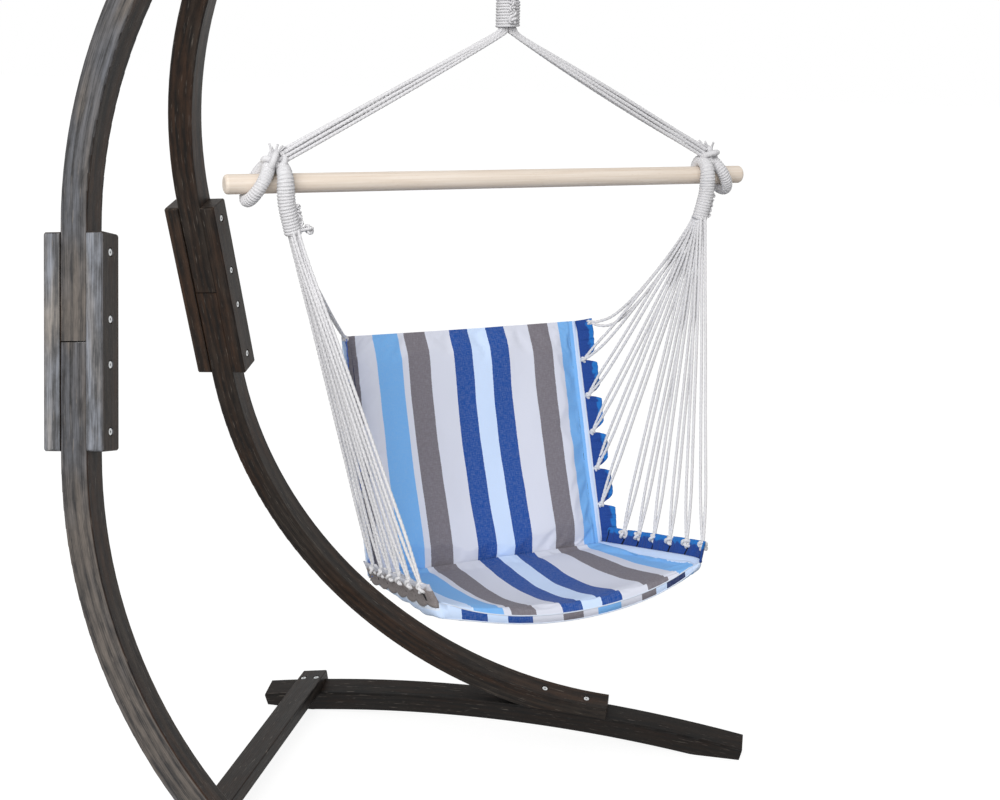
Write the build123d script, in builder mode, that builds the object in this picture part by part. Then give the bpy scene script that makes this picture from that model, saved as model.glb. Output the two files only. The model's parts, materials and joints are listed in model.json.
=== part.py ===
"""Hanging hammock chair on a wooden double-arc stand, in millimetres.

X runs across the stand, Y from front to back and Z up from the floor.
The origin is on the floor, below the middle of the stand.
"""
import os

from build123d import *
from math import asin, cos, degrees, pi, radians, sin, sqrt

os.makedirs("parts", exist_ok=True)

# Side frames: two laminated arc halves, end to end, on an arched runner
ARC_RADIUS = 870.0          # bend of the arc, on its centreline
ARC_TURN = 83.0             # degrees turned by each half
ARC_THICK = 48.0
ARC_WIDTH = 57.0
ARC_END_SLOPE = 3.0         # degrees, at the arc's lower end
EDGE_ROUND = 4.0
FOOT_HALF_SPREAD = 531.0    # from the middle to a side frame, on the floor
TIP_HALF_SPREAD = 18.0      # from the middle to an arc's centreline, at the top
MITRE_GAP = 0.1             # from the middle plane to each mitred face
RUNNER_LENGTH = 1110.0
RUNNER_RISE = 55.0          # height of the arch under the runner
RUNNER_THICK = 50.0
FRONT_OVERHANG = 300.0      # runner in front of the arc's lower end
FOOT_CUT = 14.0             # taken off under the feet to stand flat
SEAT_CUT = 20.0             # taken off under the arc's end to lie on the runner

# Splices and the rear crossbeam, sawn from one board
BOARD_THICK = 29.0
BOARD_WIDTH = 60.0
SPLICE_STRAIGHT = 380.0     # straight ends of both halves together
SPLICE_GAP = 2.0            # between the two butting ends
CHEEK_LENGTH = 365.0
CHEEK_ROUND = 5.0
BEAM_INSET = 100.0          # from the runner's rear end to the beam's middle
BEAM_OVERHANG = 10.0
BEAM_HOUSING = 8.0          # how deep the beam sits in the runner
BEAM_CLEARANCE = 0.2

# Fasteners
BOLT_DIAMETER = 8.0
BOLT_HOLE = 8.5
HEAD_DIAMETER = 12.0
HEAD_HEIGHT = 4.5
SOCKET_ACROSS = 5.0         # across the corners
SOCKET_DEPTH = 2.5
HEAD_BORE = 16.0
HEAD_SINK = 5.5
NUT_ACROSS = 14.4           # across the corners
NUT_HEIGHT = 6.5
NUT_FLANGE = 17.0
NUT_FLANGE_THICK = 1.6
NUT_BORE = 19.0
NUT_SINK = 11.0
THREAD_CLEARANCE = 0.1
SPLICE_BOLT_AT = (38.0, 150.0)      # both ways from the butt joint
FOOT_BOLT_AT = (50.0, 150.0)        # along the arc from its lower end
BEAM_BOLT_SPACING = 32.0
TIP_BOLT_AT = (75.0, 130.0)         # along the arc from its tip
TIP_BOLT_SEAT = 32.0                # from the middle plane to the seat of the head

# Eye bolt, carabiner and rope loop
EYE_INSET = 28.0            # behind the tip of the arcs
EYE_WIRE = 10.0
EYE_INSIDE = 28.0
EYE_SHANK = 10.0
EYE_HOLE = 10.6
EYE_COLLAR = 24.0
EYE_COLLAR_THICK = 4.0
SPOT_FACE = 38.0
SPOT_SINK = 7.0
EYE_WASHER = 34.0
EYE_WASHER_THICK = 3.0
EYE_NUT_ACROSS = 19.6
EYE_NUT_HEIGHT = 9.0
HANG_GAP = 0.3              # between hooked pieces
CARABINER_WIRE = 10.0
CARABINER_BOW = 17.0        # bow radius, on the wire's centreline
CARABINER_LENGTH = 92.0     # between the centrelines of its two bows
GATE_WIRE = 8.0
GATE_LENGTH = 46.0
GATE_NOSE_GAP = 0.6
GATE_EAR_THICK = 2.0
GATE_EAR_GAP = 0.2
GATE_PIN = 3.0
GATE_PIN_CLEARANCE = 0.08   # all round, in the gate
GATE_PIN_SEAT = 0.02        # all round, in the ears
ROPE = 16.0
ROPE_BOW = 18.0
LOOP_SPREAD = 120.0         # height over which the loop's legs come together
NECK_LENGTH = 52.0          # whipped length of the loop

# Spreader bar and rigging, in the chair's own frame
CHAIR_YAW = -54.0           # how far the chair has turned on its rope
BAR_LENGTH = 980.0
BAR_DIAMETER = 32.0
BAR_END_ROUND = 6.0
BAR_HEIGHT = 1327.0
APEX_HEIGHT = 1577.0        # where the strands leave the rope loop
RIG_HALF = 398.0            # from the middle to a knot on the bar
STRAND = 5.0
STRAND_PITCH = 5.4          # between strands, at the rope loop
STRAND_SPREAD = 7.5         # between layers of strands, at the knot
STRAND_LAYERS = 3
KNOT_DIAMETER = 42.0
KNOT_HEIGHT = 30.0
KNOT_FLAT = 14.0            # from its middle to the face where the strands enter
BAR_RING_WIRE = 15.0
BAR_RING_BORE = 38.0
BAR_RING_SLANT = 22.0       # degrees, its top towards the knot
BAR_RING_OUTBOARD = 38.0
LEG_CORE = 21.0
LEG_DROP = 78.0             # below the bar's centre
WHIP_CORD = 4.0
WHIP_PITCH = 4.7
WHIP_GAP = 0.4
WHIP_SIDES = 6
CORD = 4.0
CORD_PITCH = 4.5
CORD_ROW_PITCH = 5.2
CORD_SIDES = 8
TABS = 6                    # notches along each hem

# Cushions and hems, in the chair's own frame
PAD_WIDTH = 478.0
PAD_FRONT_WIDTH = 500.0
PAD_EDGE = 14.0
BACK_CROWN = 40.0
SEAT_CROWN = 28.0
SECTION_BOW = 0.05          # least bow of a section, so that it is an arc
SEAM_SET = -17.5            # seam in front of the plumb line
SEAM_HEIGHT = 615.0
BACK_LENGTH = 440.0
BACK_LEAN = 19.5            # degrees
BACK_HOLLOW = 24.0
SEAT_LENGTH = 337.0
SEAT_RISE = 14.0            # degrees
SEAT_HOLLOW = 58.0
HEM_WIDTH = 36.0
HEM_THICK = 3.0
HEM_STAND = 70.0            # degrees a seat hem stands up from the seat
NOTCH_DEPTH = 20.0
NOTCH_WIDTH = 16.0
SOFT_GAP = 0.3

# Layout of a side frame: v runs back along the floor, w up the leaning frame
END_HEADING = ARC_END_SLOPE
MID_HEADING = END_HEADING + ARC_TURN
TIP_HEADING = MID_HEADING + ARC_TURN
RUNNER_UNDER = ((RUNNER_LENGTH / 2) ** 2 + RUNNER_RISE**2) / (2 * RUNNER_RISE)
RUNNER_OVER = RUNNER_UNDER + RUNNER_THICK
RUNNER_MIDDLE = RUNNER_LENGTH / 2 - FRONT_OVERHANG
RUNNER_CENTRE = Vector(RUNNER_MIDDLE, RUNNER_RISE - FOOT_CUT - RUNNER_UNDER)


def along(heading):
    """Unit vector in a side frame at a heading from straight back, in degrees."""
    return Vector(cos(radians(heading)), sin(radians(heading)))


def inward(heading):
    """Unit vector in a side frame towards the hollow side of the arc."""
    return along(heading + 90)


runner_top_at_end = RUNNER_CENTRE.Y + sqrt(RUNNER_OVER**2 - RUNNER_MIDDLE**2)
arc_start = Vector(0, runner_top_at_end - SEAT_CUT + ARC_THICK / 2)
lower_centre = arc_start + inward(END_HEADING) * ARC_RADIUS
lower_end = lower_centre - inward(MID_HEADING) * ARC_RADIUS
butt = lower_end + along(MID_HEADING) * (SPLICE_STRAIGHT / 2)
upper_start = lower_end + along(MID_HEADING) * SPLICE_STRAIGHT
upper_centre = upper_start + inward(MID_HEADING) * ARC_RADIUS
arc_tip = upper_centre - inward(TIP_HEADING) * ARC_RADIUS

LEAN = degrees(asin((FOOT_HALF_SPREAD - TIP_HALF_SPREAD) / arc_tip.Y))
rear_corner = (
    butt
    + along(MID_HEADING) * (CHEEK_LENGTH / 2)
    - inward(MID_HEADING) * (ARC_THICK / 2 + BOARD_THICK)
)
runner_half_angle = degrees(asin(RUNNER_LENGTH / 2 / RUNNER_UNDER))
front_reach = RUNNER_OVER * sin(radians(runner_half_angle)) - RUNNER_MIDDLE
FRONT_Y = (front_reach - rear_corner.X) / 2     # arc's lower end, from the middle
SIDES = {"left": -1, "right": 1}


def side_frame(side):
    """Plane of one leaning side frame: v along local x, w along local y."""
    return Plane(
        origin=(side * FOOT_HALF_SPREAD, FRONT_Y, 0),
        x_dir=(0, 1, 0),
        z_dir=(cos(radians(LEAN)), 0, side * sin(radians(LEAN))),
    )


def spot(side, point, heading, lateral=0.0):
    """Place on a side frame whose z axis points along a heading in that frame."""
    frame = side_frame(side)
    origin = frame.from_local_coords((point.X, point.Y, lateral))
    ahead = point + along(heading)
    outward = frame.from_local_coords((ahead.X, ahead.Y, lateral)) - origin
    return Plane(origin=origin, z_dir=outward)


def depth_to_circle(point, direction, centre, radius):
    """Distance from a point, along a direction, to the first crossing of a circle."""
    offset = point - centre
    half = offset.dot(direction)
    return -half - sqrt(half**2 - offset.dot(offset) + radius**2)


def save(part, name):
    """Name a finished piece and write it."""
    part.label = name
    export_step(part, f"parts/{name}.step")


# Bolt places: each z axis points out of the head, from the face that is bored
splice_face = ARC_THICK / 2 + BOARD_THICK
splice_grip = 2 * splice_face - HEAD_SINK - NUT_SINK
splice_steps = [sign * step for step in SPLICE_BOLT_AT for sign in (-1, 1)]
splice_bores = {
    side: [
        spot(
            side,
            butt + along(MID_HEADING) * step + inward(MID_HEADING) * splice_face,
            MID_HEADING + 90,
        )
        for step in splice_steps
    ]
    for side in SIDES.values()
}

foot_headings = [END_HEADING + degrees(step / ARC_RADIUS) for step in FOOT_BOLT_AT]
foot_tops = [
    lower_centre - inward(heading) * (ARC_RADIUS - ARC_THICK / 2) for heading in foot_headings
]
foot_drops = [
    depth_to_circle(top, -inward(heading), RUNNER_CENTRE, RUNNER_UNDER)
    for top, heading in zip(foot_tops, foot_headings)
]


def foot_bores(side):
    return [
        spot(side, top, heading + 90) for top, heading in zip(foot_tops, foot_headings)
    ]


# Crossbeam: across the tops of both runners, square to their slope there
beam_v = RUNNER_LENGTH - FRONT_OVERHANG - BEAM_INSET
beam_slope = degrees(asin((beam_v - RUNNER_MIDDLE) / RUNNER_OVER))
beam_seat_w = RUNNER_CENTRE.Y + RUNNER_OVER * cos(radians(beam_slope)) - BEAM_HOUSING
beam_seat = side_frame(1).from_local_coords((beam_v, beam_seat_w, 0))
BEAM_LENGTH = 2 * (beam_seat.X + ARC_WIDTH / 2 + BEAM_OVERHANG)
beam_plane = Plane(
    origin=(0, beam_seat.Y, beam_seat.Z),
    x_dir=(1, 0, 0),
    z_dir=(0, sin(radians(beam_slope)), cos(radians(beam_slope))),
)
beam_bolt_spots = [
    (side * beam_seat.X, sign * BEAM_BOLT_SPACING / 2)
    for side in SIDES.values()
    for sign in (-1, 1)
]
beam_grip = BOARD_THICK - HEAD_SINK + RUNNER_THICK - BEAM_HOUSING - NUT_SINK
beam_bores = [
    Plane(
        origin=beam_plane.from_local_coords((x, y, BOARD_THICK)),
        x_dir=(1, 0, 0),
        z_dir=beam_plane.z_dir,
    )
    for x, y in beam_bolt_spots
]

# Tip: cross bolts through the mitre and an upright eye bolt in front of them
tip_headings = [TIP_HEADING - degrees(step / ARC_RADIUS) for step in TIP_BOLT_AT]
tip_points = [upper_centre - inward(heading) * ARC_RADIUS for heading in tip_headings]


def on_middle(point):
    """World point on the middle plane, level with a point of a side frame."""
    frame = side_frame(1)
    lateral = -frame.from_local_coords((point.X, point.Y, 0)).X / cos(radians(LEAN))
    return frame.from_local_coords((point.X, point.Y, lateral))


tip_bolt_centres = [on_middle(point) for point in tip_points]
eye_heading = TIP_HEADING - degrees(EYE_INSET / ARC_RADIUS)
eye_centre = on_middle(upper_centre - inward(eye_heading) * ARC_RADIUS)
HANG_Y = eye_centre.Y
eye_top_seat = eye_centre.Z + ARC_THICK / 2 - SPOT_SINK
eye_bottom_seat = eye_centre.Z - ARC_THICK / 2 + SPOT_SINK


# Arc halves
def arc_outline(centre, heading, straight_first):
    """Outline of one arc half, with the straight end that goes into the splice."""
    straight = (SPLICE_STRAIGHT - SPLICE_GAP) / 2
    with BuildLine() as outline:
        outer = CenterArc(centre, ARC_RADIUS + ARC_THICK / 2, heading - 90, ARC_TURN)
        inner = CenterArc(centre, ARC_RADIUS - ARC_THICK / 2, heading - 90, ARC_TURN)
        at = 0 if straight_first else 1
        run = along(MID_HEADING) * (-straight if straight_first else straight)
        Polyline(outer @ at, (outer @ at) + run, (inner @ at) + run, inner @ at)
        Line(outer @ (1 - at), inner @ (1 - at))
    return outline


def long_edges(timber, lateral_axis):
    """Edges that run the length of a timber, on its two flat sides."""
    sides = timber.faces().sort_by(lateral_axis)
    edges = sides[0].edges() + sides[-1].edges()
    return [edge for edge in edges if edge.length > 2 * ARC_THICK]


for name, side in SIDES.items():
    frame = side_frame(side)
    lateral_axis = Axis(frame.origin, frame.z_dir)

    with BuildPart() as lower_arc:
        with BuildSketch(frame):
            with BuildLine():
                add(arc_outline(lower_centre, END_HEADING, False).line)
            make_face()
        extrude(amount=ARC_WIDTH / 2, both=True)
        fillet(long_edges(lower_arc, lateral_axis), EDGE_ROUND)
        with BuildSketch(frame):
            with Locations(RUNNER_CENTRE):
                Circle(RUNNER_OVER)
        extrude(amount=ARC_WIDTH, both=True, mode=Mode.SUBTRACT)
        with Locations(*foot_bores(side)):
            CounterBoreHole(BOLT_HOLE / 2, HEAD_BORE / 2, HEAD_SINK, 3 * ARC_THICK)
        with Locations(*splice_bores[side]):
            Hole(BOLT_HOLE / 2, 4 * ARC_THICK)
    save(lower_arc.part, f"lower_arc_{name}")

    with BuildPart() as upper_arc:
        with BuildSketch(frame):
            with BuildLine():
                add(arc_outline(upper_centre, MID_HEADING, True).line)
            make_face()
        extrude(amount=ARC_WIDTH / 2, both=True)
        fillet(long_edges(upper_arc, lateral_axis), EDGE_ROUND)
        split(
            bisect_by=Plane.YZ.offset(side * MITRE_GAP),
            keep=Keep.TOP if side > 0 else Keep.BOTTOM,
        )
        with Locations(*splice_bores[side]):
            Hole(BOLT_HOLE / 2, 4 * ARC_THICK)
        for centre in tip_bolt_centres:
            bore = HEAD_BORE if side < 0 else NUT_BORE
            mouth = Vector(side * (TIP_BOLT_SEAT + ARC_WIDTH), centre.Y, centre.Z)
            with Locations(Plane(origin=mouth, x_dir=(0, 1, 0), z_dir=(side, 0, 0))):
                CounterBoreHole(BOLT_HOLE / 2, bore / 2, ARC_WIDTH, 3 * ARC_WIDTH)
        with Locations((0, HANG_Y, eye_centre.Z)):
            Cylinder(EYE_HOLE / 2, 4 * ARC_THICK, mode=Mode.SUBTRACT)
        with Locations((0, HANG_Y, eye_top_seat)):
            Cylinder(
                SPOT_FACE / 2,
                ARC_THICK,
                align=(Align.CENTER, Align.CENTER, Align.MIN),
                mode=Mode.SUBTRACT,
            )
        with Locations((0, HANG_Y, eye_bottom_seat)):
            Cylinder(
                SPOT_FACE / 2,
                ARC_THICK,
                align=(Align.CENTER, Align.CENTER, Align.MAX),
                mode=Mode.SUBTRACT,
            )
    save(upper_arc.part, f"upper_arc_{name}")

    # Arched runner, flat under both feet
    with BuildPart() as runner:
        with BuildSketch(frame):
            start = 90 - runner_half_angle
            with BuildLine():
                top = CenterArc(RUNNER_CENTRE, RUNNER_OVER, start, 2 * runner_half_angle)
                under = CenterArc(RUNNER_CENTRE, RUNNER_UNDER, start, 2 * runner_half_angle)
                Line(top @ 0, under @ 0)
                Line(top @ 1, under @ 1)
            make_face()
        extrude(amount=ARC_WIDTH / 2, both=True)
        fillet(long_edges(runner, lateral_axis), EDGE_ROUND)
        split(bisect_by=Plane.XY, keep=Keep.TOP)
        with Locations(beam_plane):
            Box(
                BEAM_LENGTH + ARC_WIDTH,
                BOARD_WIDTH + 2 * BEAM_CLEARANCE,
                2 * BOARD_THICK,
                align=(Align.CENTER, Align.CENTER, Align.MIN),
                mode=Mode.SUBTRACT,
            )
        for bore, drop in zip(foot_bores(side), foot_drops):
            with Locations(bore):
                Hole(BOLT_HOLE / 2, 3 * ARC_THICK)
            with Locations(bore.offset(NUT_SINK - drop)):
                Cylinder(
                    NUT_BORE / 2,
                    2 * NUT_SINK,
                    align=(Align.CENTER, Align.CENTER, Align.MAX),
                    mode=Mode.SUBTRACT,
                )
        for bore in beam_bores:
            with Locations(bore):
                Hole(BOLT_HOLE / 2, 3 * RUNNER_THICK)
            with Locations(bore.offset(-HEAD_SINK - beam_grip)):
                Cylinder(
                    NUT_BORE / 2,
                    RUNNER_THICK,
                    align=(Align.CENTER, Align.CENTER, Align.MAX),
                    mode=Mode.SUBTRACT,
                )
    save(runner.part, f"runner_{name}")

    # Splice cheeks on the hollow and the outer face of the arc
    for place, sign in (("front", 1), ("rear", -1)):
        face = butt + inward(MID_HEADING) * (sign * ARC_THICK / 2)
        cheek_plane = Plane(
            origin=frame.from_local_coords((face.X, face.Y, 0)),
            x_dir=frame.z_dir,
            z_dir=spot(side, face, MID_HEADING + 90 * sign).z_dir,
        )
        with BuildPart() as cheek:
            with BuildSketch(cheek_plane):
                RectangleRounded(BOARD_WIDTH, CHEEK_LENGTH, CHEEK_ROUND)
            extrude(amount=BOARD_THICK)
            outer_face = cheek.faces().sort_by(Axis(cheek_plane.origin, cheek_plane.z_dir))[-1]
            chamfer(outer_face.edges(), EDGE_ROUND / 2)
            with Locations(*splice_bores[side]):
                Hole(BOLT_HOLE / 2, 4 * ARC_THICK)
            sink = HEAD_SINK if sign > 0 else NUT_SINK
            bore = HEAD_BORE if sign > 0 else NUT_BORE
            for place_bore in splice_bores[side]:
                mouth = place_bore if sign > 0 else place_bore.offset(-2 * splice_face)
                with Locations(mouth.offset(-sign * sink)):
                    Cylinder(
                        bore / 2,
                        2 * sink,
                        align=(
                            Align.CENTER,
                            Align.CENTER,
                            Align.MIN if sign > 0 else Align.MAX,
                        ),
                        mode=Mode.SUBTRACT,
                    )
        save(cheek.part, f"splice_{place}_{name}")

# Rear crossbeam
with BuildPart() as crossbeam:
    with Locations(beam_plane):
        Box(
            BEAM_LENGTH,
            BOARD_WIDTH,
            BOARD_THICK,
            align=(Align.CENTER, Align.CENTER, Align.MIN),
        )
    chamfer(crossbeam.edges().filter_by(Axis.X), EDGE_ROUND / 2)
    with Locations(*beam_bores):
        CounterBoreHole(BOLT_HOLE / 2, HEAD_BORE / 2, HEAD_SINK, 2 * BOARD_THICK)
save(crossbeam.part, "crossbeam")


# Bolts and flanged nuts, one group for each kind of joint
def bolt_group(seats, grips):
    """Socket-head bolts; each seat's z axis points out of the head."""
    with BuildPart() as group:
        for seat, grip in zip(seats, grips):
            length = grip + NUT_FLANGE_THICK + NUT_HEIGHT + 1.0
            with Locations(seat):
                Cylinder(
                    HEAD_DIAMETER / 2,
                    HEAD_HEIGHT,
                    align=(Align.CENTER, Align.CENTER, Align.MIN),
                )
                Cylinder(
                    BOLT_DIAMETER / 2,
                    length,
                    align=(Align.CENTER, Align.CENTER, Align.MAX),
                )
            with BuildSketch(seat.offset(HEAD_HEIGHT)):
                RegularPolygon(SOCKET_ACROSS / 2, 6)
            extrude(amount=-SOCKET_DEPTH, mode=Mode.SUBTRACT)
    return group.part


def nut_group(seats, grips):
    """Flanged nuts at the far ends of the bolts."""
    with BuildPart() as group:
        for seat, grip in zip(seats, grips):
            flange = seat.offset(-grip)
            with BuildSketch(flange):
                Circle(NUT_FLANGE / 2)
            extrude(amount=-NUT_FLANGE_THICK)
            with BuildSketch(flange.offset(-NUT_FLANGE_THICK)):
                RegularPolygon(NUT_ACROSS / 2, 6)
            extrude(amount=-NUT_HEIGHT)
            with Locations(flange):
                Cylinder(
                    BOLT_DIAMETER / 2 + THREAD_CLEARANCE,
                    4 * NUT_HEIGHT,
                    mode=Mode.SUBTRACT,
                )
    return group.part


splice_seats = [bore.offset(-HEAD_SINK) for side in (-1, 1) for bore in splice_bores[side]]
splice_grips = [splice_grip] * len(splice_seats)
save(bolt_group(splice_seats, splice_grips), "splice_bolts")
save(nut_group(splice_seats, splice_grips), "splice_nuts")

foot_seats = [bore.offset(-HEAD_SINK) for side in (-1, 1) for bore in foot_bores(side)]
foot_grips = [drop - HEAD_SINK - NUT_SINK for drop in foot_drops] * 2
save(bolt_group(foot_seats, foot_grips), "foot_bolts")
save(nut_group(foot_seats, foot_grips), "foot_nuts")

beam_seats = [bore.offset(-HEAD_SINK) for bore in beam_bores]
beam_grips = [beam_grip] * len(beam_seats)
save(bolt_group(beam_seats, beam_grips), "crossbeam_bolts")
save(nut_group(beam_seats, beam_grips), "crossbeam_nuts")

tip_seats = [
    Plane(origin=(-TIP_BOLT_SEAT, centre.Y, centre.Z), z_dir=(-1, 0, 0))
    for centre in tip_bolt_centres
]
tip_grips = [2 * TIP_BOLT_SEAT] * len(tip_seats)
save(bolt_group(tip_seats, tip_grips), "tip_bolts")
save(nut_group(tip_seats, tip_grips), "tip_nuts")

# Eye bolt through the tip, with its washer and nut on top
eye_ring = EYE_INSIDE / 2 + EYE_WIRE / 2
ring_centre = eye_bottom_seat - EYE_COLLAR_THICK - eye_ring - EYE_WIRE / 4
washer_top = eye_top_seat + EYE_WASHER_THICK
with BuildPart() as eye_bolt:
    with Locations((0, HANG_Y, eye_bottom_seat)):
        Cylinder(
            EYE_COLLAR / 2, EYE_COLLAR_THICK, align=(Align.CENTER, Align.CENTER, Align.MAX)
        )
        Cylinder(
            EYE_SHANK / 2,
            washer_top + EYE_NUT_HEIGHT + 2 - eye_bottom_seat,
            align=(Align.CENTER, Align.CENTER, Align.MIN),
        )
    with Locations(Plane(origin=(0, HANG_Y, ring_centre), z_dir=(0, 1, 0))):
        Torus(eye_ring, EYE_WIRE / 2)
save(eye_bolt.part, "eye_bolt")

with BuildPart() as eye_washer:
    with BuildSketch(Plane((0, HANG_Y, eye_top_seat))):
        Circle(EYE_WASHER / 2)
        Circle(EYE_HOLE / 2, mode=Mode.SUBTRACT)
    extrude(amount=EYE_WASHER_THICK)
save(eye_washer.part, "eye_washer")

with BuildPart() as eye_nut:
    with BuildSketch(Plane((0, HANG_Y, washer_top))):
        RegularPolygon(EYE_NUT_ACROSS / 2, 6)
        Circle(EYE_SHANK / 2 + THREAD_CLEARANCE, mode=Mode.SUBTRACT)
    extrude(amount=EYE_NUT_HEIGHT)
save(eye_nut.part, "eye_nut")

# Carabiner: an open link in the fore-and-aft plane, closed by a gate on a pin
swing_z = ring_centre - eye_ring
link_top = swing_z + EYE_WIRE / 2 + HANG_GAP + CARABINER_WIRE / 2
link_bottom = link_top - CARABINER_LENGTH
link_mid = (link_top + link_bottom) / 2
gate_y = HANG_Y - CARABINER_BOW
gate_foot = link_mid - GATE_LENGTH / 2
gate_hinge = Vector(0, gate_y, gate_foot + GATE_WIRE / 2)
ear_drop = Vector(0, 0, -CARABINER_WIRE / 2)
ear_out = GATE_WIRE / 2 + GATE_EAR_GAP + GATE_EAR_THICK / 2
link_plane = Plane(origin=(0, HANG_Y, link_mid), x_dir=(0, 1, 0), z_dir=(1, 0, 0))
bow_offset = CARABINER_LENGTH / 2 - CARABINER_BOW
with BuildPart() as carabiner:
    with BuildLine(link_plane):
        nose = Line(
            (-CARABINER_BOW, GATE_LENGTH / 2 + GATE_NOSE_GAP), (-CARABINER_BOW, bow_offset)
        )
        CenterArc((0, bow_offset), CARABINER_BOW, 180, -180)
        Line((CARABINER_BOW, bow_offset), (CARABINER_BOW, -bow_offset))
        CenterArc((0, -bow_offset), CARABINER_BOW, 0, -180)
        Line((-CARABINER_BOW, -bow_offset), (-CARABINER_BOW, -GATE_LENGTH / 2 - HANG_GAP))
    with BuildSketch(Plane(origin=nose @ 0, z_dir=nose % 0)):
        Circle(CARABINER_WIRE / 2)
    sweep()
    for sign in (-1, 1):
        ear = Plane(
            origin=gate_hinge + ear_drop + Vector(sign * ear_out, 0, 0),
            x_dir=(0, 0, -1),
            z_dir=(1, 0, 0),
        )
        with BuildSketch(ear):
            SlotCenterToCenter(CARABINER_WIRE, GATE_WIRE)
            with Locations((-CARABINER_WIRE / 2, 0)):
                Circle(GATE_PIN / 2 + GATE_PIN_SEAT, mode=Mode.SUBTRACT)
        extrude(amount=GATE_EAR_THICK / 2, both=True)
save(carabiner.part, "carabiner")

with BuildPart() as gate:
    with Locations(gate_hinge):
        Sphere(GATE_WIRE / 2)
        Cylinder(
            GATE_WIRE / 2,
            GATE_LENGTH - GATE_WIRE / 2,
            align=(Align.CENTER, Align.CENTER, Align.MIN),
        )
    with Locations(Plane(origin=gate_hinge, z_dir=(1, 0, 0))):
        Cylinder(GATE_PIN / 2 + GATE_PIN_CLEARANCE, 2 * GATE_WIRE, mode=Mode.SUBTRACT)
save(gate.part, "carabiner_gate")

with BuildPart() as gate_pin:
    with Locations(Plane(origin=gate_hinge, z_dir=(1, 0, 0))):
        Cylinder(GATE_PIN / 2, 2 * (ear_out + GATE_EAR_THICK / 2))
save(gate_pin.part, "gate_pin")

# Rope loop over the carabiner, its legs drawn together in a whipped neck
sway_z = link_bottom
loop_top = sway_z + CARABINER_WIRE / 2 + HANG_GAP + ROPE / 2
bow_z = loop_top - ROPE_BOW
leg_x = ROPE / 2 + HANG_GAP
loop_foot = APEX_HEIGHT + HANG_GAP
neck_top = loop_foot + NECK_LENGTH
loop_plane = Plane(origin=(0, HANG_Y, 0), x_dir=(1, 0, 0), z_dir=(0, -1, 0))
with BuildPart() as rope_loop:
    with BuildLine(loop_plane):
        first = FilletPolyline(
            (-leg_x, loop_foot),
            (-leg_x, neck_top),
            (-ROPE_BOW, neck_top + LOOP_SPREAD),
            (-ROPE_BOW, bow_z),
            radius=4 * ROPE,
        )
        CenterArc((0, bow_z), ROPE_BOW, 180, -180)
        FilletPolyline(
            (ROPE_BOW, bow_z),
            (ROPE_BOW, neck_top + LOOP_SPREAD),
            (leg_x, neck_top),
            (leg_x, loop_foot),
            radius=4 * ROPE,
        )
    with BuildSketch(Plane(origin=first @ 0, z_dir=first % 0)):
        Circle(ROPE / 2)
    sweep()
save(rope_loop.part, "rope_loop")


# Whippings: cord wound round a rope, each turn as four pairs of tangent arcs
def winding(core_radius, height):
    """One unbroken tube wound round the z axis from z = 0; prints its gap to itself."""
    radius = core_radius + WHIP_GAP + WHIP_CORD / 2
    turns = int((height - WHIP_CORD) / WHIP_PITCH)
    quarter = pi / 2
    rise = WHIP_PITCH / (2 * pi * radius)
    points = []
    headings = []
    for step in range(4 * turns + 1):
        angle = step * quarter
        points.append(
            Vector(
                radius * cos(angle),
                radius * sin(angle),
                WHIP_CORD / 2 + step * WHIP_PITCH / 4,
            )
        )
        headings.append(Vector(-sin(angle), cos(angle), rise).normalized())
    with BuildPart() as coil:
        with BuildLine() as path:
            Line(points[0] - headings[0] * WHIP_CORD, points[0])
            for begin, end, t0, t1 in zip(points, points[1:], headings, headings[1:]):
                chord = end - begin
                both = chord.dot(t0 + t1)
                spread = 2 * (1 - t0.dot(t1))
                reach = (sqrt(both**2 + spread * chord.dot(chord)) - both) / spread
                middle = (begin + end + (t0 - t1) * reach) * 0.5
                first_arc = TangentArc(begin, middle, tangent=t0)
                TangentArc(middle, end, tangent=first_arc % 1)
            Line(points[-1], points[-1] + headings[-1] * WHIP_CORD)
        with BuildSketch(Plane(origin=path.line @ 0, z_dir=path.line % 0)):
            RegularPolygon(WHIP_CORD / 2, WHIP_SIDES)
        sweep()
    gap = min((p - q).length for p, q in zip(points, points[4:])) - WHIP_CORD
    print(f"whipping of {turns} turns, least gap to itself {gap:.2f} mm")
    return coil.part


neck_whipping = winding(ROPE + HANG_GAP, NECK_LENGTH).moved(Location((0, HANG_Y, loop_foot)))
save(neck_whipping, "neck_whipping")

# Everything below is drawn in the chair's frame: x along the bar, y to the rear
CHAIR_PLACE = Location((0, HANG_Y, 0), (0, 0, CHAIR_YAW))


def hang(part, name):
    """Turn a piece of the chair about its rope, then name and write it."""
    save(part.moved(CHAIR_PLACE), name)


def tie(ends, diameter, sides):
    """Taut cords, each between a pair of points."""
    with BuildPart() as cords:
        for top, foot in ends:
            with BuildSketch(Plane(origin=top, z_dir=foot - top)):
                RegularPolygon(diameter / 2, sides)
            extrude(amount=(foot - top).length)
    return cords.part


with BuildPart() as spreader_bar:
    with Locations(Plane(origin=(0, 0, BAR_HEIGHT), z_dir=(1, 0, 0))):
        Cylinder(BAR_DIAMETER / 2, BAR_LENGTH)
    fillet(spreader_bar.edges().filter_by(GeomType.CIRCLE), BAR_END_ROUND)
hang(spreader_bar.part, "spreader_bar")

leg_radius = LEG_CORE / 2 + WHIP_GAP + WHIP_CORD
leg_y = -(BAR_DIAMETER / 2 + leg_radius + 2 * SOFT_GAP)
knot_foot = BAR_HEIGHT + BAR_DIAMETER / 2 + SOFT_GAP
knot_y = leg_y / 2
leg_foot = BAR_HEIGHT - LEG_DROP
ring_radius = BAR_RING_BORE / 2 + BAR_RING_WIRE / 2
ring_slant = radians(BAR_RING_SLANT)
ring_lift = ring_radius * cos(ring_slant) - (BAR_DIAMETER + BAR_RING_WIRE) / 2 - SOFT_GAP

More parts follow.
